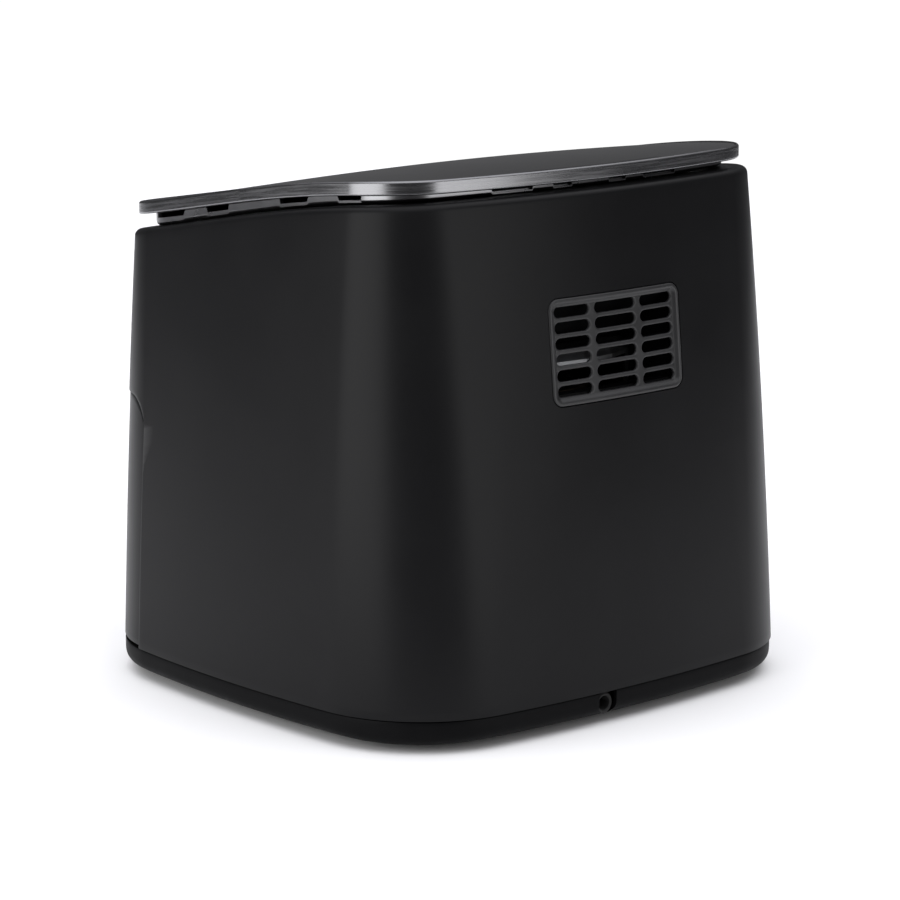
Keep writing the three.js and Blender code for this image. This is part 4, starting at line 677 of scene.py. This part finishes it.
# %% [markdown]
# ## The lid
# A dark metal rim follows the lid's outline, a notched neck lifts it off the shoulder and lets air in,
# and a crowned glossy panel fills it. All three are carried round one outline, the shoulder's made
# smaller; only the neck changes on the way, where its upper edge steps down for each air inlet.

# %% Lid outline and rim
LID_CURVE = (262.3 * MM, 0.169, 0.306, 2.45)
LID_INSET = 2.9 * MM
RIM_WIDTH = 5 * MM
NECK_INSET = 9 * MM
lid = SimpleNamespace(**{**vars(shoulder), "half_x": shoulder.half_x - LID_INSET,
                         "half_y": shoulder.half_y - LID_INSET, "corner": shoulder.corner - LID_INSET,
                         "shift": shoulder.shift - 1.6 * MM})


def lid_point(turn, inset, rise, curve=LID_CURVE):
    """A point on the lid's outline, moved in by inset and up by rise from one of the sloping curves."""
    x, y = outline(lid, inset, turn)
    return np.stack(np.broadcast_arrays(x, y + BODY_Y, height_on(curve, y) + rise), -1)


def carried(section, turn, curve=LID_CURVE):
    """A closed section of (inset, rise) points carried round the lid's outline."""
    inset, rise = np.array(section, float).T[:, :, None] * MM
    return grid(lid_point(turn, inset, rise, curve), round_rows=True, round_columns=True)


ring_turn = np.linspace(0, 2 * math.pi, 481)[:-1]
rim_section = [(5, 0), (1.1, 0), (0.9, 0), (0.45, 0.12), (0.12, 0.45), (0, 0.9), (0, 1.1), (0, 5.7),
               (0, 5.9), (0.14, 6.3), (0.5, 6.75), (0.8, 6.95), (1.1, 7), (1.4, 6.95), (1.5, 6.8),
               (1.5, 5.8), (5, 5.8)]
piece("lid_rim_band", [carried(rim_section, ring_turn)], "housing", ["lid_rim"],
      brushed_gunmetal)

# %% [markdown]
# ## The air inlets
# The fan draws air in under the lid through notches in the neck. They could be cut with a Boolean, but
# lowering the columns between each notch's ends gives clean upright sides without one.

# %% Notched neck
SIDE_INLETS = ((-96, -68), (-47, -28), (14, 35), (57, 73))
BACK_INLETS = ((-63, -38), (-25, -12.6), (12.6, 25), (38, 63))
INLET_DEPTH = 2.6 * MM


def inlet_turns():
    """The turns where each air inlet starts and ends, in order round the neck."""
    def right(y):
        return halve(lambda t: outline(lid, NECK_INSET, t)[1], y * MM, -math.pi / 2, math.pi / 2)

    def back(x):
        return halve(lambda t: -outline(lid, NECK_INSET, t)[0], -x * MM, 0.0, math.pi)

    spans = [(right(low), right(high)) for low, high in SIDE_INLETS]
    spans += [(math.pi - high, math.pi - low) for low, high in spans]
    spans += [(back(high), back(low)) for low, high in BACK_INLETS]
    return sorted((float(a) % (2 * math.pi), float(b) % (2 * math.pi)) for a, b in spans)


def neck_grid():
    """A wall from the shoulder to the rim, curled in at its foot. Two columns stand at each inlet's end,
    one at full height and one cut down, so the notches have upright ends."""
    hair = 0.0015
    ends = np.array(inlet_turns())
    turn = np.sort(np.concatenate([ring_turn, ends.ravel() - hair, ends.ravel() + hair]))
    inside = ((turn[:, None] > ends[:, 0]) & (turn[:, None] < ends[:, 1])).any(axis=1)
    top = lid_point(turn, NECK_INSET, -GAP)[:, 2] - np.where(inside, INLET_DEPTH, 0)
    foot = lid_point(turn, NECK_INSET, GAP, SHOULDER_CURVE)[:, 2]
    curl = np.array([(2.2, 0), (1.3, 0.08), (0.6, 0.18), (0.2, 0.3), (0, 0.42), (0, 0.46), (0, 1)])
    inset = NECK_INSET + curl[:, :1] * MM
    points = lid_point(turn[None], inset, 0)
    points[..., 2] = mix(foot, top, curl[:, 1:])
    return grid(points, round_columns=True)


piece("lid_neck", [neck_grid()], "housing", ["inlet_neck"],
      metallic_lacquer, [wall(2 * MM)])

# %% [markdown]
# ## The glossy panel
# It is a tinted plate with touch areas behind it, slightly domed. The outline shrunk ring by ring to its
# middle gives it a closed surface, and a dome that is a product of two parabolas has no ridge.

# %% Top panel
CARRIER_THICKNESS = 2.4 * MM
PANEL_LOW = CARRIER_THICKNESS + GAP
PANEL_TOP = 6.35 * MM
PANEL_CROWN = 3.2 * MM


def lid_disc(inset, rise, crown, shares, turn):
    """Rings of the lid's outline shrunk towards its middle, higher there by the crown."""
    x, y = outline(lid, inset, turn)
    share = np.array(shares)[:, None]
    y = mix(lid.shift, y, share)
    x = x * share
    dome = (1 - (x / lid.half_x) ** 2) * (1 - ((y - lid.shift) / lid.half_y) ** 2)
    z = height_on(LID_CURVE, y) + rise + crown * dome
    return np.stack(np.broadcast_arrays(x, y + BODY_Y, z), -1)


def panel_grid():
    """The panel from the middle of its underside, out to the rim, up, out over the rim's inner step, over
    a small round and in to the top's middle."""
    edge, brim = RIM_WIDTH + GAP, 1.8 * MM
    turn = ring_turn[::2]
    shares = np.linspace(0, 1, 24)
    under = lid_disc(edge, PANEL_LOW, 0, shares, turn)
    bend = np.linspace(0, math.pi / 2, 5)[:, None]
    radius = 0.25 * MM
    steps = lid_point(turn[None], np.array([[edge], [brim]]), PANEL_TOP - radius - 0.2 * MM)
    rise = PANEL_TOP - radius * (1 - np.sin(bend))
    over = lid_point(turn[None], brim + radius * (1 - np.cos(bend)), rise)
    top = lid_disc(brim + 2 * radius, PANEL_TOP, PANEL_CROWN, shares[::-1], turn)
    return grid(np.concatenate([under, steps, over, top]), round_columns=True)


piece("touch_panel", [panel_grid()], "housing", ["top_panel"], tinted_panel)

# %% [markdown]
# ## The base
# A shallow black pan carries the body: an upright band under the seam and an underside that curls in
# to a flat bottom on four feet, so the fryer seems to float. The curl is a quarter ellipse between two
# outlines, which could also be modelled by hand, but this way it follows the body by itself. The cord's
# opening is cut at the back. The low step of the CAD base isn't made here.

# %% Base pan
BAND_TOP = base_high.z
BAND = 5 * MM
FOOT_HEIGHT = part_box("foot_rear_right")[1].z - 3.7 * MM
BASE_INSET = 0.8 * MM
TUCK = 18 * MM
FULLNESS = 0.77  # below 1 the curl is fuller than a quarter ellipse
CURL_ROWS, FLAT_ROWS = 14, 7
bottom = SimpleNamespace(**{**vars(seam), "half_x": HALF_X - TUCK, "half_y": HALF_Y - TUCK,
                            "corner": 27 * MM})


def base_grid():
    """The band, then the curl: a quarter ellipse from the seam's outline to the bottom's, then the flat."""
    turn = ring_turn[::2]
    upper_x, upper_y = outline(seam, BASE_INSET, turn)
    lower_x, lower_y = outline(bottom, 0, turn)
    bend = np.linspace(0, math.pi / 2, CURL_ROWS)
    flat = np.linspace(1, 0, FLAT_ROWS + 1)[1:]
    share = np.concatenate([[0, 0], 1 - np.abs(np.cos(bend)) ** FULLNESS, np.ones(FLAT_ROWS)])[:, None]
    size = np.concatenate([np.ones(CURL_ROWS + 2), flat])[:, None]
    curl = mix(BAND_TOP - BAND, FOOT_HEIGHT, np.sin(bend) ** FULLNESS)
    z = np.concatenate([[BAND_TOP, BAND_TOP - BAND / 2], curl, np.full(FLAT_ROWS, FOOT_HEIGHT)])[:, None]
    x, y = mix(upper_x, lower_x, share) * size, mix(upper_y, lower_y, share) * size
    points = np.stack(np.broadcast_arrays(x, y + BODY_Y, z), -1)
    return grid(points[::-1], round_columns=True)


gland_low, gland_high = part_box("cord_gland")
GLAND_X, GLAND_Z = (gland_low.x + gland_high.x) / 2, (gland_low.z + gland_high.z) / 2
half = gland_high.x - GLAND_X + GAP
arch = rounded_loop(half, GLAND_Z - half, BAND_TOP + 3 * half, half * 0.999)
cord_cutter = cutter("cord_cutter", arch[0] + GLAND_X, arch[1], gland_low.y - 5 * MM, base_high.y + 5 * MM)
# The base's plastic is drawn near black: painted shade for the underside that sits in shadow over the table.
piece(
    "base_tray", [base_grid()], "housing", ["base_pan"], grained_plastic_with_painted_shade,
    [wall(2.2 * MM), soft_edges(0.5 * MM), ("BOOLEAN", {"operation": "DIFFERENCE", "object": cord_cutter})],
)
bpy.data.objects.remove(cord_cutter)

# %% [markdown]
# ## Feet and cord gland
# Both are round rubber mouldings, so each is a section spun about an axis. A Screw modifier would do it
# too, but an array of points needs nothing applied afterwards.

# %% Turned pieces: feet, gland
def turned(section, centre, axis="Z", count=48):
    """A closed section of (radius, height) points, in mm, spun about an upright or a lying axis."""
    radius, height = np.array(section, float).T[:, :, None] * MM
    turn = np.linspace(0, 2 * math.pi, count + 1)[:-1]
    u, v, w = np.broadcast_arrays(radius * np.cos(turn), radius * np.sin(turn), height)
    points = np.stack([u, v, w] if axis == "Z" else [v, w, u], -1)
    return grid(points + np.array(centre), round_rows=True, round_columns=True)


CORNERS = ("front_right", "front_left", "rear_left", "rear_right")
for name in CORNERS:
    low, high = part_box(f"foot_{name}")
    radius, tall = (high.x - low.x) / 2 / MM, FOOT_HEIGHT / MM
    pad = [(0, 0.4), (radius - 3, 0.4), (radius - 2.4, 0), (radius - 0.9, 0), (radius - 0.25, 0.25),
           (radius, 0.9), (radius, tall - 0.3), (0, tall - 0.3)]
    centre = ((low.x + high.x) / 2, (low.y + high.y) / 2, low.z)
    piece(f"foot_pad_{name}", [turned(pad, centre)], "housing", [f"foot_{name}"],
          moulded_rubber, outward=True)
outer = (gland_high.x - gland_low.x) / 2 / MM
long = (gland_high.y - gland_low.y) / MM
ring_section = [(3.7, 0), (outer, 0), (outer, long - 0.8), (outer - 0.8, long), (4.4, long),
                (3.7, long - 0.7)]
piece("cord_grommet", [turned(ring_section, (GLAND_X, gland_low.y, GLAND_Z), "Y")], "housing",
      ["cord_gland"], moulded_rubber, outward=True)

# %% [markdown]
# ## The air vent
# The grille is one moulding: a raised frame with a rounded edge, and a sunken field of bars whose
# edges are rounded too. Each slot and the plastic round it is one cell: a grid whose columns go round
# the slot and whose rows go from the cell's border to the slot's edge and in through the thickness.
# Cells of one size share their border points, so they join into one sheet.

# %% Cells with a slot
def slotted_cells(centres, cell_sizes, slot_sizes, radius, depth, border_steps=3):
    """Cells round slots, in (u, v, depth): from the border in to the slot, over its rounded edge, through,
    over the far edge and back to the border. centres and sizes are arrays with a row for each cell."""
    per_side, per_end = 13, 11
    turn = np.linspace(-math.pi / 2, math.pi / 2, per_end)
    far = np.linspace(-1, 1, per_side)
    end_u, end_v = np.cos(turn), np.sin(turn)
    loop_u = np.concatenate([np.ones(per_end), -far[1:-1], -np.ones(per_end), far[1:-1]])
    round_u = np.concatenate([end_u, np.zeros(per_side - 2), -end_u, np.zeros(per_side - 2)])
    round_v = np.concatenate([end_v, np.ones(per_side - 2), -end_v, -np.ones(per_side - 2)])
    rim_v = np.concatenate([np.linspace(-1, 1, per_end), np.ones(per_side - 2),
                            np.linspace(1, -1, per_end), -np.ones(per_side - 2)])
    bend = np.linspace(math.pi / 2, 0, 5)
    grow = np.concatenate([radius * (1 - np.cos(bend)), radius * (1 - np.cos(bend))[::-1]])
    sink = np.concatenate([radius * (1 - np.sin(bend)), depth - radius * (1 - np.sin(bend))[::-1]])
    size = slot_sizes[:, None, None, :] / 2
    straight = size[..., 0] - size[..., 1]
    cap = size[..., 1] + grow[:, None]
    slot_u = loop_u * straight + round_u * cap
    slot_v = round_v * cap
    edge = cell_sizes[:, None, None, :] / 2
    border_u, border_v = loop_u * edge[..., 0], rim_v * edge[..., 1]
    fade = np.linspace(0, 1, border_steps + 1)[:-1][:, None]
    front_u, front_v = mix(border_u, slot_u[:, :1], fade), mix(border_v, slot_v[:, :1], fade)
    u = np.concatenate([front_u, slot_u, front_u[:, ::-1]], axis=1)
    v = np.concatenate([front_v, slot_v, front_v[:, ::-1]], axis=1)
    deep = np.concatenate([np.zeros(border_steps), sink, np.full(border_steps, depth)])
    return np.stack([u + centres[:, None, None, 0], v + centres[:, None, None, 1],
                     np.broadcast_to(deep[:, None], u.shape)], -1)


SLOT_WIDTHS = np.array([22.6, 27.6, 22.6]) * MM
SLOT_BAR = 3.8 * MM
SLOT_PITCH = 7.9 * MM
SLOT_HEIGHT = 5.6 * MM
SLOT_ROWS = 6
FIELD_DEPTH = 2.2 * MM
SLAT_SETBACK = 1.2 * MM


def vent_cells():
    """Three columns of six slots, centred on the vent."""
    across = np.cumsum(SLOT_WIDTHS + SLOT_BAR) - (SLOT_WIDTHS + SLOT_BAR) / 2
    across -= (SLOT_WIDTHS + SLOT_BAR).sum() / 2
    up = (np.arange(SLOT_ROWS) - (SLOT_ROWS - 1) / 2) * SLOT_PITCH + (vent_low.z + vent_high.z) / 2
    u, v = np.meshgrid(across, up)
    width = np.broadcast_to(SLOT_WIDTHS, u.shape)
    centres = np.stack([u.ravel(), v.ravel()], -1)
    cells = np.stack([width.ravel() + SLOT_BAR, np.full(u.size, SLOT_PITCH)], -1)
    slots = np.stack([width.ravel(), np.full(u.size, SLOT_HEIGHT)], -1)
    return slotted_cells(centres, cells, slots, 0.9 * MM, FIELD_DEPTH)


def onto_back(flat):
    """Bends (x, z, depth) points onto the body's back."""
    x, z, depth = np.moveaxis(flat, -1, 0)
    return np.stack([x, back_y(x, z) - depth, z], -1)


def vent_lip():
    """The raised frame: a section of (inset, depth) carried round the grille's rounded outline."""
    section = np.array([(0, 3.2), (0, 0.4), (0.2, -0.1), (0.7, -0.4), (1.3, -0.5), (1.8, -0.42),
                        (2.4, -0.1), (3.0, 0.45), (3.6, 0.95), (4.2, 1.25), (4.2, 3.2)]) * MM
    loops = []
    for inset, depth in section:
        x, z = rounded_loop(vent_high.x - inset, vent_low.z + inset, vent_high.z - inset,
                            max(VENT_CORNER - inset, 0.9 * MM))
        loops.append(np.stack([x, z, np.full_like(x, depth)], -1))
    fine = np.stack(loops)
    ends = np.roll(fine, -1, axis=1)
    parts = 6
    share = np.arange(parts)[:, None] / parts
    fine = mix(fine[:, :, None], ends[:, :, None], share).reshape(len(section), -1, 3)
    return grid(onto_back(fine), round_rows=True, round_columns=True)


field = vent_cells()
field[..., 2] += SLAT_SETBACK
piece(
    "vent_grille_moulding", [grid(onto_back(cell), round_columns=True) for cell in field] + [vent_lip()],
    "housing", ["vent_grille"], textured_abs, outward=True, close="bridge",
)

# %% [markdown]
# ## The drawer's handle, pan and plate
# The handle is a U in plan, a moulding with a rounded rectangular section whose stems reach towards
# the drawer front. It is carried along two outlines at once, the outer and the inner one, so its width
# can change on the way. The pan is a set of rounded rectangles, each at its own height, and the plate
# is a flat sheet with rows of slots.

# %% Handle
handle_low, handle_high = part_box("handle")
GRIP_CORNER = 22 * MM
FINGER_CORNER = 12 * MM
STEM_WIDTH = 15 * MM
GRIP_THICKNESS = 16 * MM
GRIP_ROUND = 6 * MM
STEM_END_Y = -109 * MM


def u_path(x_half, y_front, corner, y_end):
    """A U in plan: from the right stem's end, round two corners, to the left stem's end."""
    bend = np.linspace(0, math.pi / 2, 15)
    straight = np.linspace(y_end, y_front + corner, 12)[:-1]
    x = np.concatenate([np.full_like(straight, x_half), x_half - corner + corner * np.cos(bend)])
    y = np.concatenate([straight, y_front + corner - corner * np.sin(bend)])
    middle = np.linspace(x[-1], -x[-1], 24)[1:-1]
    return np.stack([np.concatenate([x, middle, -x[::-1]]),
                     np.concatenate([y, np.full_like(middle, y_front), y[::-1]])])


def handle_grid():
    """A rounded rectangle between the outer and the inner U. Its stems stop up to 1.3 mm short of the
    front's face."""
    outer = u_path(handle_high.x, handle_low.y, GRIP_CORNER, STEM_END_Y)
    inner = u_path(handle_high.x - STEM_WIDTH, handle_low.y + GRIP_THICKNESS, FINGER_CORNER, STEM_END_Y)
    middle, half = (outer + inner) / 2, np.linalg.norm(outer - inner, axis=0) / 2
    way = (outer - inner) / 2 / half
    turn = np.linspace(0, 2 * math.pi, 49)[:-1] + 0.001  # a hair off, so no sine or cosine is 0
    side, up = np.sign(np.cos(turn)), np.sign(np.sin(turn))
    out = side[:, None] * (half - GRIP_ROUND) + GRIP_ROUND * np.cos(turn)[:, None]
    tall = (handle_high.z - handle_low.z) / 2 - GRIP_ROUND
    z = (handle_low.z + handle_high.z) / 2 + up * tall + GRIP_ROUND * np.sin(turn)
    x, y = middle[0] + way[0] * out, middle[1] + way[1] * out
    return grid(np.stack(np.broadcast_arrays(x, y, z[:, None]), -1), round_rows=True)


piece("drawer_handle", [handle_grid()], "drawer", ["handle"], grained_plastic_with_painted_shade,
      outward=True, close="fill")

# %% [markdown]
# ## The strip on the handle
# A thin strip of dark metal is set in the grip's face. It is a rounded rectangle, stepped through a few
# insets for a soft edge. Its two flat ends shrink sideways to nine tenths and up and down to a line.

# %% Handle trim
trim_low, trim_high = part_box("handle_trim")
trim_rows = []
for inset, y in ((3, trim_low.y / MM), (0.5, trim_low.y / MM), (0.15, trim_low.y / MM + 0.15),
                 (0, trim_low.y / MM + 0.5), (0, trim_high.y / MM), (3, trim_high.y / MM)):
    tall = (trim_high.z - trim_low.z) / 2
    x, z = rounded_loop(trim_high.x - inset * MM, trim_low.z + inset * MM, trim_high.z - inset * MM,
                        tall - inset * MM - 1e-6)
    trim_rows.append(np.stack([x, np.full_like(x, y * MM), z], -1))
ends = [row.mean(axis=0) * [0, 1, 1] + row * [0.9, 0, 0] for row in (trim_rows[0], trim_rows[-1])]
piece("handle_trim_strip", [grid(np.stack([ends[0], *trim_rows, ends[1]]), round_columns=True)],
      "drawer", ["handle_trim"], brushed_gunmetal, outward=True)

# %% [markdown]
# ## The pan
# It is pressed from one sheet and coated: a lip, a wall that leans in, and a floor with a bevel. Each
# row is one rounded rectangle, and Solidify gives the sheet its thickness.

# %% Pan
pan_low, pan_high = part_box("drawer_pan")
PAN_LIP_X, PAN_LIP_Y = 5.7 * MM, 4 * MM
PAN_WALL = 1.8 * MM
# The rest of the pan's section is in mm, as the rows of its grid are.
WALL_TOP, WALL_FOOT = 1.9, 8.4  # how far the wall's top and its foot lie inside the lip's bend
WALL_DROP = 1.6
FLOOR_BEVEL = 6
FLOOR_ABOVE_BOX = 1.8
PAN_CORNER, PAN_LIP_CORNER = 34, 38
CORNER_SHRINK = 0.5


def pan_grid():
    """Rounded rectangles from the rim's edge, over it and down the tapering wall, round the bottom's
    bevel and in to the middle of the floor. Each row is (shrink, extra shrink of the lip, height)."""
    floor = pan_low.z / MM + FLOOR_ABOVE_BOX
    top = pan_high.z / MM
    rows = [(0, 1, top - 1.4), (0, 1, top - 0.5), (0.4, 1, top - 0.1), (1, 1, top),
            (1.2, 0, top - 0.1), (1.7, 0, top - 0.7), (WALL_TOP, 0, top - WALL_DROP)]
    rows += [(mix(WALL_TOP, WALL_FOOT, s), 0, mix(top - WALL_DROP, floor + FLOOR_BEVEL, s))
             for s in np.linspace(0, 1, 12)[1:]]
    rows += [(WALL_FOOT + FLOOR_BEVEL * (1 - math.cos(b)), 0, floor + FLOOR_BEVEL * (1 - math.sin(b)))
             for b in np.linspace(0, math.pi / 2, 7)[1:]]
    loops = []
    for shrink, lip_share, z in rows:
        lip_x, lip_y = PAN_LIP_X * (1 - lip_share), PAN_LIP_Y * (1 - lip_share)
        radius = mix(PAN_CORNER, PAN_LIP_CORNER, lip_share) * MM - CORNER_SHRINK * shrink * MM
        x, y = rounded_loop(pan_high.x - lip_x - shrink * MM, pan_low.y + lip_y + shrink * MM,
                        pan_high.y - lip_y - shrink * MM, radius)
        loops.append(np.stack([x, y, np.full_like(x, z * MM)], -1))
    middle = loops[-1].mean(axis=0)
    loops += [mix(loops[-1], middle, s) for s in np.linspace(0, 1, 8)[1:]]
    return grid(np.stack(loops), round_columns=True)


piece("pan_shell", [pan_grid()], "drawer", ["drawer_pan"], non_stick_coat,
      [wall(PAN_WALL)])

# %% [markdown]
# ## The crisper plate
# Food lies on this slotted sheet so that hot air can pass under it. The slots are punched, so here one
# mesh of slot-shaped prisms cuts them all at once. Slots that would meet a bumper are left out.

# %% Crisper plate
plate_low, plate_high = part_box("crisper_plate")
PLATE_CORNER = 28 * MM
HOLE_LENGTH, HOLE_WIDTH = 30 * MM, 8 * MM
HOLE_STEP_X, HOLE_STEP_Y = 40 * MM, 21 * MM
HOLE_COLUMNS, HOLE_ROWS = 4, 9
PIN_RADIUS = 6 * MM


def plate_grid():
    """A flat sheet with softened edges: from the middle of its top, over the edge, to the middle below."""
    rows = [(0.5, plate_high.z), (0.15, plate_high.z - 0.15 * MM), (0, plate_high.z - 0.5 * MM),
            (0, plate_low.z + 0.5 * MM), (0.15, plate_low.z + 0.15 * MM), (0.5, plate_low.z)]
    loops = []
    for inset, z in rows:
        x, y = rounded_loop(plate_high.x - inset * MM, plate_low.y + inset * MM, plate_high.y - inset * MM,
                        PLATE_CORNER - inset * MM)
        loops.append(np.stack([x, y, np.full_like(x, z)], -1))
    first, last = loops[0].mean(axis=0), loops[-1].mean(axis=0)
    shares = np.linspace(0, 1, 6)[:-1]
    above = [mix(first, loops[0], s) for s in shares]
    below = [mix(last, loops[-1], s) for s in shares[::-1]]
    return grid(np.stack(above + loops + below), round_columns=True)


plate_middle = (plate_low.y + plate_high.y) / 2
hole_x, hole_y = np.meshgrid((np.arange(HOLE_COLUMNS) - (HOLE_COLUMNS - 1) / 2) * HOLE_STEP_X,
                             (np.arange(HOLE_ROWS) - (HOLE_ROWS - 1) / 2) * HOLE_STEP_Y + plate_middle)
pins = [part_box(f"crisper_foot_{name}") for name in CORNERS]
pin_x = [(low.x + high.x) / 2 for low, high in pins]
pin_y = [(low.y + high.y) / 2 for low, high in pins]
near = (
    (np.abs(hole_x[..., None] - pin_x) < HOLE_LENGTH / 2 + PIN_RADIUS + 2 * MM)
    & (np.abs(hole_y[..., None] - pin_y) < HOLE_WIDTH / 2 + PIN_RADIUS + 2 * MM)
).any(axis=-1)
slot_x, slot_y = rounded_loop(HOLE_LENGTH / 2, -HOLE_WIDTH / 2, HOLE_WIDTH / 2, HOLE_WIDTH * 0.4999, 7)
prisms = []
for x, y in zip(hole_x[~near], hole_y[~near]):
    rows = [np.stack([x + slot_x * s, y + slot_y * s, np.full_like(slot_x, z)], -1) for s, z in
            ((0, plate_low.z - MM), (1, plate_low.z - MM), (1, plate_high.z + MM), (0, plate_high.z + MM))]
    prisms.append(grid(np.stack(rows), round_columns=True))
slot_cutter = cutting_tool("slot_cutter", prisms)
piece(
    "crisper_sheet", [plate_grid()], "crisper", ["crisper_plate"], non_stick_coat,
    [("BOOLEAN", {"operation": "DIFFERENCE", "object": slot_cutter}), soft_edges(0.3 * MM)],
    outward=True,
)
bpy.data.objects.remove(slot_cutter)
print("slots in the plate:", int((~near).sum()))

# %% [markdown]
# ## The table top
# The fryer stands on a white disc, most of it behind the object, which catches the shadow.

floor_material = finish("white_studio_floor", "#fafafa", "#ffffff", ("noise", 0.4, EVEN, False), (0.75, 0.8),
                        ("noise", 0.05, EVEN, False, 2, 0.0))
floor_middle = -0.85 * towards_camera[:2]  # most of the table lies behind the object
floor_ring = np.linspace(0, 2 * math.pi, 65)[:-1]
floor_radius = np.array([0.0, 0.65, 1.3])[:, None]
floor_points = np.stack(np.broadcast_arrays(
    floor_middle[0] + floor_radius * np.cos(floor_ring),
    floor_middle[1] + floor_radius * np.sin(floor_ring), -0.0002), -1)
floor = bpy.data.objects.new("floor", raw_mesh("floor", [grid(floor_points, round_columns=True)]))
floor.data.materials.append(floor_material)
bpy.context.scene.collection.objects.link(floor)
